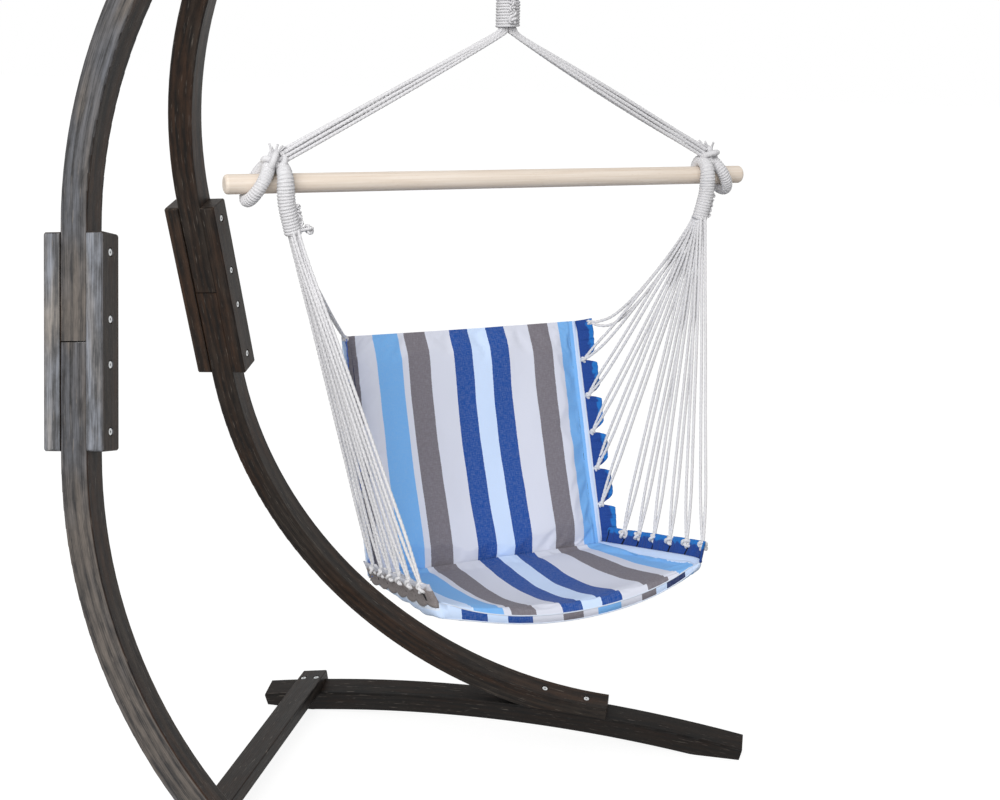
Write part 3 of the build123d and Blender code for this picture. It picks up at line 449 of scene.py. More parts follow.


def hem_canvas(name, root, edge, thread, slit_shade_colour=None):
    """Folded canvas hem: one stripe colour at its root, the next at its edge; UVs in metres.

    thread is the colour of the flecks; the last argument is the colour of painted shade put in narrow bands
    where the cords pass, standing for the dark inside slits and folds.
    """
    finish, tree, shader = new_finish(name, **CANVAS)
    uv = add_node(tree, "TexCoord", out="UV")
    both = add_node(tree, "SeparateXYZ", {0: uv}).node.outputs
    fold = add_node(tree, "TexNoise", {"Vector": uv, "Scale": 1 / FOLD, "Detail": 1})
    height = sum_of(tree, (both[1], 1.0), (fold, FOLD_DRIFT))
    share = add_node(tree, "MapRange", {0: height, 1: EDGE_FROM, 2: EDGE_TO})
    plain = add_node(tree, "Mix", {0: share, 6: linear(root), 7: linear(edge)}, out=2, data_type="RGBA")
    weave = add_node(tree, "TexNoise", {"Vector": uv, "Scale": 1 / THREAD, "Detail": 2})
    fleck = add_node(tree, "MapRange", {0: weave, 1: 0.45, 2: 0.7, 4: 0.14})
    colour = add_node(tree, "Mix", {0: fleck, 6: plain, 7: linear(thread)}, out=2, data_type="RGBA")
    # Painted shade: a dark band at each tie, standing for the shadow in the slits and folds where the cords
    # pass
    if slit_shade_colour:
        turn = sum_of(tree, (both[0], 1 / TIE_STEP), (fold, 0.05))
        phase = add_node(tree, "Math", {0: turn, 1: 0.475 - FIRST_TIE / TIE_STEP})
        beat = add_node(tree, "Math", {0: phase, 1: 1.0}, operation="FLOORED_MODULO")
        apart = add_node(tree, "Math", {0: beat, 1: 0.5, 2: SLIT_SHADE_HALF_WIDTH / TIE_STEP}, operation="COMPARE")
        below = add_node(tree, "Math", {0: both[1], 1: SLIT_SHADE_MIDDLE, 2: SLIT_SHADE_HALF_HEIGHT}, operation="COMPARE")
        share = add_node(tree, "Math", {0: apart, 1: below}, operation="MULTIPLY")
        colour = add_node(tree, "Mix", {0: share, 6: colour, 7: linear(slit_shade_colour)}, out=2, data_type="RGBA")
    relief = add_node(tree, "Bump", {"Strength": 0.4, "Distance": 0.4 * MM, "Height": weave})
    dress(tree, shader, Base_Color=colour, Normal=relief)
    return finish


dowel = bare_dowel()
steel = zinc_steel()
laid_rope = cotton_cord("laid_cotton_rope", 9 * MM, 2, 0.7)
whip_cord = cotton_cord("whipping_cotton", 6 * MM, 2, 0.35)
thin_cord = cotton_cord("thin_cotton_cord", 7 * MM, 1, 0.2)
back_canvas = striped_canvas("striped_canvas_back", PAD_STRIPES, BACK_UP, 4 * MM)
seat_canvas = striped_canvas("striped_canvas_seat", SEAT_STRIPES, SEAT_OUT, 8 * MM)
gusset_canvas = striped_canvas("striped_canvas_gusset", GUSSET_STRIPES, Vector((0, 0, 1)), 4 * MM)
# The blue hems' root is darker than the royal stripe, partly painted shade of their folds
blue_hem = hem_canvas("hem_canvas_blue", "#1D3F88", "#1F6FBC", "#6D97D2")
blue_hem_slit_shade = hem_canvas("hem_canvas_blue_slit_shade", "#1D3F88", "#1F6FBC", "#6D97D2", "#0C1428")
pale_hem = hem_canvas("hem_canvas_pale", "#A9C3EA", "#2F5DB8", "#D6E2F2")
taupe_hem = hem_canvas("hem_canvas_taupe_slit_shade", "#7D7675", "#B9BBC4", "#D2D1D4", "#242224")
HEM_FINISHES = {
    ("back", "left"): pale_hem, ("back", "right"): blue_hem,
    ("seat", "left"): taupe_hem, ("seat", "right"): blue_hem_slit_shade,
}
piping_canvas = hem_canvas("piping_canvas_pale", "#D3DCEA", "#D3DCEA", "#F0F0F2")
# The dark navy of the cord on the back's seam is partly thread and partly painted shade of the puckered
# seam
seam_cord_and_shade = hem_canvas("navy_seam_and_painted_shade", "#1C2C4E", "#1C2C4E", "#3C5C90")

# Finishes of the rigid pieces: timber as listed, all else of steel
TIMBER_COATS = {
    "lower_arc": lower_timber, "upper_arc": upper_timber, "runner": runner_timber,
    "splice_front": cheek_timber, "splice_rear": cheek_timber, "crossbeam": beam_timber,
    "spreader_bar": dowel,
}
for node, piece in frame["nodes"].items():
    kind = node.removesuffix("_left").removesuffix("_right")
    piece.data.materials.clear()
    piece.data.materials.append(TIMBER_COATS.get(kind, steel))


def smooth_line(route):
    """Points read from a smooth NURBS line along a route."""
    curve = bpy.data.curves.new("route", "CURVE")
    curve.dimensions = "3D"
    curve.resolution_u = 16
    spline = curve.splines.new("NURBS")
    spline.points.add(len(route) - 1)
    for knot, point in zip(spline.points, route):
        knot.co = (*point, 1)
    spline.use_endpoint_u = True
    spline.order_u = 3
    carrier = bpy.data.objects.new("route", curve)
    mesh = bpy.data.meshes.new_from_object(carrier)
    line = [vertex.co.copy() for vertex in mesh.vertices]
    bpy.data.objects.remove(carrier)
    bpy.data.curves.remove(curve)
    bpy.data.meshes.remove(mesh)
    return line


def even_steps(line, step):
    """The same line with points about a step apart."""
    lengths = [0.0]
    for a, b in zip(line, line[1:]):
        lengths.append(lengths[-1] + (b - a).length)
    count = max(2, round(lengths[-1] / step))
    points = []
    place = 0
    for number in range(count + 1):
        target = lengths[-1] * number / count
        while place < len(line) - 2 and lengths[place + 1] < target:
            place += 1
        span = lengths[place + 1] - lengths[place]
        points.append(line[place].lerp(line[place + 1], (target - lengths[place]) / span if span else 0.0))
    return points


def carried_axes(line):
    """Each point of a line with two cross directions that turn as little as they can."""
    result = []
    cross = None
    for place, point in enumerate(line):
        ahead = line[min(place + 1, len(line) - 1)] - line[max(place - 1, 0)]
        ahead.normalize()
        cross = ahead.orthogonal() if cross is None else cross - ahead * cross.dot(ahead)
        cross.normalize()
        result.append((point, cross.copy(), ahead.cross(cross)))
    return result


def laid_round(line, radius, pitch, phase=0.0):
    """A line wound round another, one turn in each pitch; the radius may change along it."""
    walked = 0.0
    result = []
    for place, (point, cross, side) in enumerate(carried_axes(line)):
        if place:
            walked += (point - line[place - 1]).length
        angle = phase + 2 * pi * walked / pitch
        size = radius(place / (len(line) - 1)) if callable(radius) else radius
        result.append(point + (cross * cos(angle) + side * sin(angle)) * size)
    return result


class Made:
    """A mesh under way: corners, faces, UVs of each face's corners and finish numbers."""

    def __init__(self):
        self.points, self.faces, self.uvs, self.coats = [], [], [], []

    def tube(self, line, radius, sides=8, coat=0):
        """Round tube along a line; UVs are metres along and turns round."""
        first = len(self.points)
        walked = []
        for place, (point, cross, side) in enumerate(carried_axes(line)):
            walked.append(walked[-1] + (point - line[place - 1]).length if place else 0.0)
            size = radius(place / (len(line) - 1)) if callable(radius) else radius
            for step in range(sides):
                angle = 2 * pi * step / sides
                self.points.append(point + (cross * cos(angle) + side * sin(angle)) * size)
        for ring in range(len(line) - 1):
            for step in range(sides):
                after = (step + 1) % sides
                a, b = first + ring * sides, first + (ring + 1) * sides
                self.faces.append((a + step, a + after, b + after, b + step))
                low, high = step / sides, (step + 1) / sides
                near, far = walked[ring], walked[ring + 1]
                self.uvs.append(((near, low), (near, high), (far, high), (far, low)))
                self.coats.append(coat)
        last = first + (len(line) - 1) * sides
        for cap in (range(first + sides - 1, first - 1, -1), range(last, last + sides)):
            self.faces.append(tuple(cap))
            self.uvs.append(tuple((0.0, 0.0) for _ in cap))
            self.coats.append(coat)

    def piece(self, name, body, slot, finishes, nodes=(), place=None):
        """The finished object, riding on its body in place of its nodes."""
        mesh = bpy.data.meshes.new(name)
        points = [place @ point for point in self.points] if place else self.points
        mesh.from_pydata(points, [], self.faces)
        layer = mesh.uv_layers.new(name="metres")
        layer.data.foreach_set("uv", [value for face in self.uvs for corner in face for value in corner])
        mesh.polygons.foreach_set("material_index", self.coats)
        mesh.polygons.foreach_set("use_smooth", [True] * len(self.faces))
        for finish in finishes:
            mesh.materials.append(finish)
        mesh.update()
        made = bpy.data.objects.new(name, mesh)
        scene.collection.objects.link(made)
        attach(made, body)
        if nodes:
            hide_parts(*nodes)
        return made


def knot_line(middle, size, tilt=0.0, stretch=1.0):
    """A three-crossing knot drawn up round a middle point."""
    line = []
    for step in range(97):
        angle = 2 * pi * step / 96
        reach = size * (0.52 + 0.26 * cos(3 * angle))
        height = 0.5 * size * stretch * sin(3 * angle)
        spot = Vector((reach * cos(2 * angle), reach * sin(2 * angle), height))
        line.append(middle + Matrix.Rotation(tilt, 3, "Y") @ spot)
    return line


# Rope loop: three laid strands over the carabiner, whipped together at the neck
ROPE_STRAND, ROPE_LAY = 4.1 * MM, 46 * MM
NECK_CORD, NECK_PITCH, NECK_RADIUS = 2.35 * MM, 4.7 * MM, 18.6 * MM
NECK_FOOT, NECK_STEP = 4.5 * MM, 0.375 * MM
LEG_X = 8.3 * MM
LOOP_X = 18 * MM
NECK_TOP = APEX_Z + 52.3 * MM
LOOP_TOP = SWAY_Z + 13.3 * MM
loop_half = [
    (LEG_X, APEX_Z + 14 * MM), (LEG_X, APEX_Z + 30 * MM), (LEG_X, NECK_TOP),
    (LOOP_X, NECK_TOP + 120 * MM), (LOOP_X, NECK_TOP + 180 * MM), (LOOP_X, LOOP_TOP - 45 * MM),
    (LOOP_X + 1 * MM, LOOP_TOP - 14 * MM), (LOOP_X - 3 * MM, LOOP_TOP + 0.5 * MM),
]
loop_route = [(-x, HANG_Y, z) for x, z in loop_half] + [(x, HANG_Y, z) for x, z in reversed(loop_half)]
loop_line = even_steps(smooth_line(loop_route), 2.5 * MM)
rope = Made()
for strand in range(3):
    rope.tube(laid_round(loop_line, ROPE_STRAND, ROPE_LAY, 2 * pi * strand / 3), ROPE_STRAND)
rope.piece("rope_loop_laid", "rope", "cotton_rope", [laid_rope], ["rope_loop"])

neck = Made()
neck_line = [Vector((0, HANG_Y, APEX_Z + NECK_FOOT + step * NECK_STEP)) for step in range(121)]
neck.tube(laid_round(neck_line, NECK_RADIUS, NECK_PITCH), NECK_CORD)
for link in range(4):
    beside = Vector((-20 * MM, HANG_Y - (13 - link) * MM, APEX_Z + (25 + 9 * link) * MM))
    neck.tube(knot_line(beside, 6 * MM, link), 1.7 * MM, 6)
neck.tube(knot_line(Vector((-20 * MM, HANG_Y - 13 * MM, APEX_Z + 16 * MM)), 8 * MM, 0.7), 2.4 * MM, 8)
neck.piece("neck_winding", "rope", "cotton_rope", [whip_cord], ["neck_whipping"])


# Middle surfaces of the cushions: u from side to side, v from the seam out
BACK_HOLLOW, BACK_SAG = 24 * MM, 6 * MM
SEAT_HOLLOW = 52 * MM
CORNER_CUT, CORNER_START = 30 * MM, 0.9


def back_shape(u, v):
    """Middle surface of the back: hangs back between its hems."""
    hollow = BACK_HOLLOW * (1 - (2 * v - 1) ** 2) + BACK_SAG * v + BACK_SAG * v * v
    place = SEAM + BACK_UP * (BACK_LENGTH * v) + Vector((u * PAD_WIDTH / 2, 0, 0))
    return place - BACK_FRONT * (hollow * (1 - u * u)), BACK_FRONT


def seat_shape(u, v):
    """Middle surface of the seat: rises to the front and hangs down between its hems."""
    near_front = min(1.0, max(0.0, (v - CORNER_START) / (1 - CORNER_START)))
    width = PAD_WIDTH + (PAD_FRONT_WIDTH - PAD_WIDTH) * v - CORNER_CUT * (1 - sqrt(1 - near_front ** 2))
    hollow = SEAT_HOLLOW * (1 - (1 - min(1.0, v * 1.15)) ** 2) * (1 - 0.18 * v ** 4)
    place = SEAT_START + SEAT_OUT * (SEAT_LENGTH * v) + Vector((u * width / 2, 0, 0))
    return place - SEAT_UP * (hollow * (1 - u * u)), SEAT_UP


# Hems: where their notches are, and which way they stand
NOTCH_SHARES = [(step + 0.9) / TABS for step in range(TABS)]
NOTCH_DEPTH = {"back": 29 * MM, "seat": 12 * MM}
NOTCH_WALLS = {"back": (9 * MM, 20 * MM), "seat": (6 * MM, 6 * MM)}     # below and above its point
TIE_HEIGHT = {"back": 9 * MM, "seat": 27 * MM}
CREASE = {"back": 4 * MM, "seat": 8 * MM}       # how deep the cloth is drawn in at each tie
SCALLOP = 7 * MM
HEM_TURN = {-1: radians(80), 1: radians(48)}    # how far the cords draw the back's hems forward
HEM_THICK = 1.4 * MM
GATHERS = ((9 * MM, 40 * MM, 3.6 * MM, 0), (4 * MM, 25 * MM, 1.8 * MM, 5))  # along, up, depth, seed
SLUMP_STEP, SLUMP = 45 * MM, 6 * MM
CREASE_WIDTH = 4.6 * MM
ROOT_OUT = 1.5 * MM         # how far the cloth stands off at its root
SHAPES = {"back": (back_shape, BACK_LENGTH), "seat": (seat_shape, SEAT_LENGTH)}


def hem_layout(part, side):
    """Length, root line, stand direction and outward face of one hem."""
    out = Vector((side, 0, 0))
    shape, length = SHAPES[part]
    front, turn = (BACK_FRONT, HEM_TURN[side]) if part == "back" else (SEAT_UP, HEM_STAND)

    def root(place):
        """A point on the line where the hem is sewn on."""
        return shape(side, (HEM_START + place) / length)[0]

    stand = out * cos(turn) + front * sin(turn)
    return length - HEM_START, root, stand, front * cos(turn) - out * sin(turn)


def notch_places(part, length):
    """Distances of the notches along a hem, as the cords are tied."""
    if part == "seat":
        return [FIRST_TIE + step * TIE_STEP for step in range(TABS)]
    begin = PAD_EDGE - HEM_START
    return [begin + share * (length - begin) for share in NOTCH_SHARES]


def hem_height(part, place, length):
    """Height of a hem's edge: full on the tabs, drawn down to a point in each notch."""
    height = HEM_WIDTH
    for middle in notch_places(part, length)[:-1]:
        apart = place - middle
        apart /= NOTCH_WALLS[part][1] if apart > 0 else -NOTCH_WALLS[part][0]
        if apart < 1:
            height = min(height, HEM_WIDTH - NOTCH_DEPTH[part] * (1 - apart) ** 1.6)
    return height


def hem_scallop(part, side, place):
    """How far the tabs of the left seat hem bulge below its root, between the ties."""
    if part == "back" or side > 0:
        return 0.0
    return -SCALLOP * abs(sin(pi * (place - FIRST_TIE) / TIE_STEP)) ** 0.7


def hem_strip(part, name, side):
    """Hem gathered into soft tabs between its notches."""
    length, root, stand, face = hem_layout(part, side)
    rows, columns = 9, round(length / MM)
    ties = notch_places(part, length)[:-1]
    strip = Made()
    spots = []
    for column in range(columns + 1):
        place = length * column / columns
        top, low = hem_height(part, place, length), hem_scallop(part, side, place)
        slump = noise.noise((place / SLUMP_STEP, 7.0, side)) * SLUMP
        for row in range(rows + 1):
            height = low + (top - low) * row / rows
            gather = 0.0
            for along, up, depth, seed in GATHERS:
                gather += noise.noise((place / along, height / up, side + seed)) * depth
            free = max(0.0, height / HEM_WIDTH)
            drawn = sum(exp(-((place - tie) / CREASE_WIDTH) ** 2) for tie in ties)
            drawn *= -side * CREASE[part] * min(1.0, 1.4 * free)
            bulge = face * (gather * min(1.0, 1.6 * free) + slump * free + drawn)
            rise = stand * height if height > 0 else SEAT_UP * height + Vector((side * ROOT_OUT, 0, 0))
            strip.points.append(root(place) + rise + bulge)
            spots.append((place, height))
    area = 0.0
    for column in range(columns):
        middle = length * (column + 0.5) / columns
        area += length / columns * (hem_height(part, middle, length) - hem_scallop(part, side, middle))
        for row in range(rows):
            a = column * (rows + 1) + row
            b = a + rows + 1
            corners = (a, b, b + 1, a + 1)
            strip.faces.append(corners if side > 0 else corners[::-1])
            strip.uvs.append(tuple(spots[corner] for corner in strip.faces[-1]))
            strip.coats.append(0)
    made = strip.piece(
        f"{part}_hem_cloth_{name}", "chair", "hem_canvas", [HEM_FINISHES[part, name]],
        [f"{part}_hem_{name}"], CHAIR,
    )
    thick = made.modifiers.new("two_layers", "SOLIDIFY")
    thick.thickness = HEM_THICK
    thick.offset = 0.0


for name, side in SIDES.items():
    for part in ("back", "seat"):
        hem_strip(part, name, side)


def girth(share):
    """Half the thickness of a whipped leg's core: less where it is hooked over the bar."""
    return 5 * MM + 6.2 * MM * min(1.0, share / 0.5)


# Rigging of each side, from the apex over the bar to the hems
UP = Vector((0, 0, 1))
REAR = Vector((0, 1, 0))
LOOP_TILT = radians(32)
LOOP_HIGH, LOOP_DEEP = 32.5 * MM, 27.5 * MM     # half sizes of the whipped loop
LOOP_CORE, LOOP_WIND, LOOP_CORD, LOOP_PITCH = 9.6 * MM, 9.0 * MM, 2.2 * MM, 4.3 * MM
LEG_CORD, LEG_PITCH = 2.45 * MM, 5.0 * MM
STRAND_PLY, STRAND_WIND, STRAND_LAY = 2.4 * MM, 0.9 * MM, 26 * MM
STRAND_ASIDE, STRAND_LAYER = 3.4 * MM, 11.5 * MM
FAN_PLY, FAN_WIND, FAN_LAY = 2.4 * MM, 0.55 * MM, 18 * MM
FAN_ROUTE = ((0.35, 1.3, 0.9), (0.7, 1.6, 1.0), (0.9, 1.9, 0.5))    # shares of the way, spread and sag
BACK_SLACK = (52, 16, 9, 6, 4, 3)       # mm, from the top of the back down
SEAT_SLACK, MOST_LEFT_SLACK = 2.5, 8    # mm
TWIN_ASIDE, TWIN_OUT = 3.0 * MM, 1.3 * MM
for name, side in SIDES.items():
    inward = Vector((-side, 0, 0))
    knot_mid = Vector((side * (RIG_HALF + 13 * MM), -12 * MM, BAR_Z + 37 * MM))
    fall = (knot_mid - Vector((side * LEG_X, 0, APEX_Z))).normalized()
    over = (inward * -fall.z + UP * abs(fall.x)).normalized()

    # Six laid strands in three layers
    bundle = Made()
    for layer in range(3):
        for column in (-1, 1):
            aside = REAR * (column * STRAND_ASIDE)
            neck_end = Vector((side * (3 + 4 * layer) * MM, 0, APEX_Z + 9 * MM)) + aside
            step = (layer - 1) * STRAND_LAYER + column * 3 * MM
            start = Vector((side * (4 + 11 * layer) * MM, 0, APEX_Z - (4 + 4 * layer) * MM))
            start += aside + over * (column * 2 * MM)
            end = knot_mid + over * step + aside - fall * 6 * MM
            bow = over * ((layer - 1) * 5 * MM) + UP * (-1.5 - 2.2 * column) * MM
            neck_out = neck_end - UP * 10 * MM
            route = [neck_end, neck_out, start, start.lerp(end, 0.3) + bow, start.lerp(end, 0.7) + bow, end]
            line = even_steps(smooth_line(route), 2.5 * MM)
            for ply in range(3):
                wound = laid_round(line, STRAND_WIND, STRAND_LAY, 2 * pi * ply / 3 + layer)
                bundle.tube(wound, STRAND_PLY, 8)
    bundle.piece(f"strand_bundle_{name}", "chair", "cotton_rope", [thin_cord], [f"strands_{name}"], CHAIR)

    # Drawn knot with a brush of cut ends on top
    knot = Made()
    knot.tube(knot_line(knot_mid, 22 * MM, 0.5 * side, 0.9), 5.4 * MM, 10)
    for turn in range(5):
        angle = 2 * pi * turn / 5
        spread = Vector((cos(angle), sin(angle), 0)) * 5 * MM
        lean = UP + inward * 0.35 + spread * (0.05 / MM)
        root = knot_mid + UP * 8 * MM + spread
        tip = root + lean * (15 + 2 * (turn % 3)) * MM + spread
        knot.tube(smooth_line([root, root + lean * 9 * MM, tip]), 1.8 * MM, 6)
    knot.piece(f"bar_knot_drawn_{name}", "chair", "cotton_rope", [whip_cord], [f"bar_knot_{name}"], CHAIR)

    # Whipped loop slanting round the bar
    loop_centre = Vector((side * (RIG_HALF + 38 * MM), 0, BAR_Z + 1.5 * MM))
    loop_up = inward * sin(LOOP_TILT) + UP * cos(LOOP_TILT)
    ring_line = []
    for step in range(481):
        angle = 2 * pi * step / 480
        ring_line.append(loop_centre + loop_up * (LOOP_HIGH * cos(angle)) - REAR * (LOOP_DEEP * sin(angle)))
    ring = Made()
    ring.tube(ring_line[::4], LOOP_CORE, 14)
    ring.tube(laid_round(ring_line, LOOP_WIND, LOOP_PITCH), LOOP_CORD, 6)
    ring.piece(f"bar_loop_whipped_{name}", "chair", "cotton_rope", [whip_cord], [f"bar_ring_{name}"], CHAIR)

    # Whipped leg hooked over the bar, drawn in at its foot
    leg_x = side * RIG_HALF
    foot = Vector((leg_x, LEG_Y + 2 * MM, LEG_FOOT)) + inward * 12 * MM
    leg_route = [
        Vector((leg_x, 15 * MM, BAR_Z + 10 * MM)), Vector((leg_x, 8 * MM, BAR_Z + 26 * MM)),
        Vector((leg_x, -15 * MM, BAR_Z + 28 * MM)), Vector((leg_x, LEG_Y, BAR_Z + 14 * MM)),
        Vector((leg_x, LEG_Y, BAR_Z - 22 * MM)),
        Vector((leg_x, LEG_Y, BAR_Z - 42 * MM)) + inward * 3 * MM,
        foot,
    ]
    leg_line = even_steps(smooth_line(leg_route), 0.5 * MM)
    leg = Made()
    leg.tube(leg_line[::4], lambda share: girth(share) + 2.4 * MM, 14)
    leg.tube(laid_round(leg_line, lambda share: girth(share) + 1.4 * MM, LEG_PITCH), LEG_CORD, 6)

    # Chained tail of the whipping, tied off beside the leg
    for link in range(5):
        high = (44 - 9 * link) * MM
        beside = foot + Vector((15 * MM, -4 * MM, high)) - inward * (0.2 * high)
        leg.tube(knot_line(beside, 5.5 * MM, 0.9 * link), 1.6 * MM, 6)
    if side < 0:
        leg.tube(knot_line(foot + Vector((24 * MM, -6 * MM, 7 * MM)), 9 * MM, 0.6), 2.6 * MM, 8)
    leg_nodes = [f"leg_rope_{name}", f"leg_whipping_{name}"]
    leg.piece(f"leg_whipped_{name}", "chair", "cotton_rope", [whip_cord], leg_nodes, CHAIR)

    # Pairs of cords fan out from the whipped leg to the notches
    fan = Made()
    targets = []
    for part in ("back", "seat"):
        length, root, stand, _ = hem_layout(part, side)
        ties = [root(place) + stand * TIE_HEIGHT[part] for place in notch_places(part, length)]
        if part == "back":
            ties[-1] += stand * 22 * MM
            ties.reverse()
        targets += ties
    for step, target in enumerate(targets):
        top = foot + Vector((((step % 2) - 0.5) * 9 * MM, (2.5 - step // 2) * 3.7 * MM, 5 * MM))
        aside = (target - top).cross(Vector((1, 0, 0))).normalized()
        slack = BACK_SLACK[step] if step < len(BACK_SLACK) else SEAT_SLACK
        if side < 0:
            slack = min(slack, MOST_LEFT_SLACK)
        for twin in (-1, 1):
            apart = aside * (twin * TWIN_ASIDE) + Vector((twin * TWIN_OUT, 0, 0))
            drop = UP * (-slack * (1 + 0.05 * twin) * MM)
            route = [top + apart * 0.8, top + apart - UP * 12 * MM]
            for share, spread, sag in FAN_ROUTE:
                route.append(top.lerp(target, share) + apart * spread + drop * sag)
            line = even_steps(smooth_line(route + [target]), 3 * MM)
            for ply in range(2):
                fan.tube(laid_round(line, FAN_WIND, FAN_LAY, pi * ply + step), FAN_PLY, 7)
        size, cord = (6 * MM, 2.4 * MM) if step < TABS else (10 * MM, 3 * MM)
        fan.tube(knot_line(target, size, 0.4 * step), cord, 6)
    fan.piece(f"cord_fan_{name}", "chair", "cotton_rope", [thin_cord], [f"side_cords_{name}"], CHAIR)


# Cushions: sewn covers that swell with their filling between the seams
GRID = 4.2 * MM
FLANGE = 15 * MM
BAG = 19 * MM
BAG_ROUNDING = 9 * MM
ROLL = 26 * MM
ROLL_START = 0.885
FILL_PRESSURE = 2.0
FILL_STEPS = 20
COVER_SLACK = 0.012
MOST_SWELL = 9 * MM
BACK_RIM, BACK_FILL = 4.5 * MM, 10.5 * MM
SEAT_RIM, SEAT_FILL = 5 * MM, 16 * MM
SEAT_BELLY, FRONT_BELLY = 10 * MM, 3 * MM       # how far the underside hangs, and more at the front
EDGE_PIPING, FRONT_PIPING, SEAM_CORD = 3.2 * MM, 1.1 * MM, 0.9 * MM


def sewn_fast(u, v, seam):
    """Whether a point of a cover is held: beside both seams, at the rear and at the far end."""
    edge = (1 - abs(u)) * PAD_WIDTH / 2
    return edge < FLANGE + MM or v < seam or v > 0.99


def padded_cover(length, shape, layers, seam):
    """Closed cover over a filling: a face, an underside and a wall round the rim, finer at its ends."""
    across, along = 120, round(length / GRID)
    cover = Made()
    held = []
    for layer in (0, 1):
        for row in range(along + 1):
            v = row / along - 0.7 * sin(2 * pi * row / along) / (2 * pi)
            for column in range(across + 1):
                share = 2 * column / across - 1
                u = 0.55 * share + 0.45 * sin(share * pi / 2)
                point, normal = shape(u, v)
                ease = noise.noise((u * 4.2, v * 3.1, 3.0)) * 2.2 * MM * (1 - u ** 8)
                cover.points.append(point + normal * (layers(u, v)[layer] + ease))
                held.append(sewn_fast(u, v, seam))
    size = (across + 1) * (along + 1)
    for row in range(along):
        for column in range(across):
            a = row * (across + 1) + column
            b = a + across + 1
            cover.faces.append((a, a + 1, b + 1, b))
            cover.faces.append((a + size, b + size, b + 1 + size, a + 1 + size))
            cover.coats += [0, 0]
    rim = list(range(across + 1))
    rim += [row * (across + 1) + across for row in range(1, along + 1)]
    rim += [along * (across + 1) + column for column in range(across - 1, -1, -1)]
    rim += [row * (across + 1) for row in range(along - 1, 0, -1)]
    for a, b in zip(rim, rim[1:] + rim[:1]):
        cover.faces.append((b, a, a + size, b + size))
        front = min(a, b) >= along * (across + 1)
        side = a % (across + 1) == b % (across + 1)
        cover.coats.append(1 if front else 2 if side else 0)
    cover.uvs = [tuple((0.0, 0.0) for _ in face) for face in cover.faces]
    return cover, held


def fill_cover(cushion, held):
    """Lets a sewn cover swell over its filling, then keeps the shape it takes."""
    group = cushion.vertex_groups.new(name="sewn")
    for place, hold in enumerate(held):
        if hold:
            group.add([place], 1.0, "REPLACE")
    before = [vertex.co.copy() for vertex in cushion.data.vertices]
    cloth = cushion.modifiers.new("filling", "CLOTH")
    cloth.settings.use_pressure = True
    cloth.settings.uniform_pressure_force = FILL_PRESSURE
    cloth.settings.effector_weights.gravity = 0
    cloth.settings.vertex_group_mass = "sewn"
    cloth.settings.shrink_min = -COVER_SLACK
    cloth.settings.quality = 5
    cloth.settings.mass = 0.25
    cloth.settings.bending_stiffness = 0.4
    cloth.point_cache.frame_start = 1
    cloth.point_cache.frame_end = FILL_STEPS
    for step in range(1, FILL_STEPS + 1):
        scene.frame_set(step)
    swollen = bpy.data.meshes.new_from_object(cushion.evaluated_get(bpy.context.evaluated_depsgraph_get()))
    after = [vertex.co.copy() for vertex in swollen.vertices]
    cushion.modifiers.clear()
    scene.frame_set(1)
    for vertex, old, new in zip(cushion.data.vertices, before, after):
        move = new - old
        if move.length > MOST_SWELL:
            move *= MOST_SWELL / move.length
        vertex.co = old + move
    bpy.data.meshes.remove(swollen)


def flange(u, thick, fullest):
    """Height of the flange beside the seam, pinched where it is sewn; none inside the seam.

    fullest is where it is fullest, from 0 at the rim to 1 at the seam.
    """
    edge = (1 - abs(u)) * PAD_WIDTH / 2
    if edge > FLANGE + 2 * MM:
        return None
    return MM + thick * max(0.0, 1 - ((edge / FLANGE - fullest) / (1 - fullest)) ** 2)


def back_layers(u, v):
    """Heights of the face and the underside over the middle surface of the back."""
    inside = u * 1.06 if abs(u) < 0.94 else 1.0
    full = (1 - abs(inside) ** 5) * (1 - abs(2 * v - 1) ** 8)
    half = flange(u, 3 * MM, 0.45) or BACK_RIM + BACK_FILL * full
    return half, -half


def seat_layers(u, v):
    """Heights of the face and the underside of the seat, whose face rolls over to the front.

    The cloth bags under the hems, and on the left as far as the front corner.
    """
    full = (1 - abs(u) ** 5) * (1 - (1 - v) ** 12)
    past = max(0.0, (v - ROLL_START) / (1 - ROLL_START))
    bag = BAG * v * abs(u) ** 6 * (1 if u < 0 else 1 - v ** 16) * (1 + 0.5 * noise.noise((v * 9, 2.0, 0.0)))
    under = SEAT_RIM + SEAT_BELLY * full + FRONT_BELLY * full * past ** 2 + bag
    near_rim = max(0.0, 1 - (1 - abs(u)) * PAD_WIDTH / 2 / BAG_ROUNDING)
    under *= 0.45 + 0.55 * sqrt(1 - near_rim ** 2)
    ridge = flange(u, 6 * MM * (1 - v ** 16), 0.1)
    return ridge or SEAT_RIM + full * (SEAT_FILL - ROLL * (1 - sqrt(1 - past ** 2))), -under


def drawn_out(radius, rate):
    """Radius along a tube that thins out at both ends."""
    return lambda share: radius * min(1.0, 0.1 + rate * share, 0.1 + rate * (1 - share))


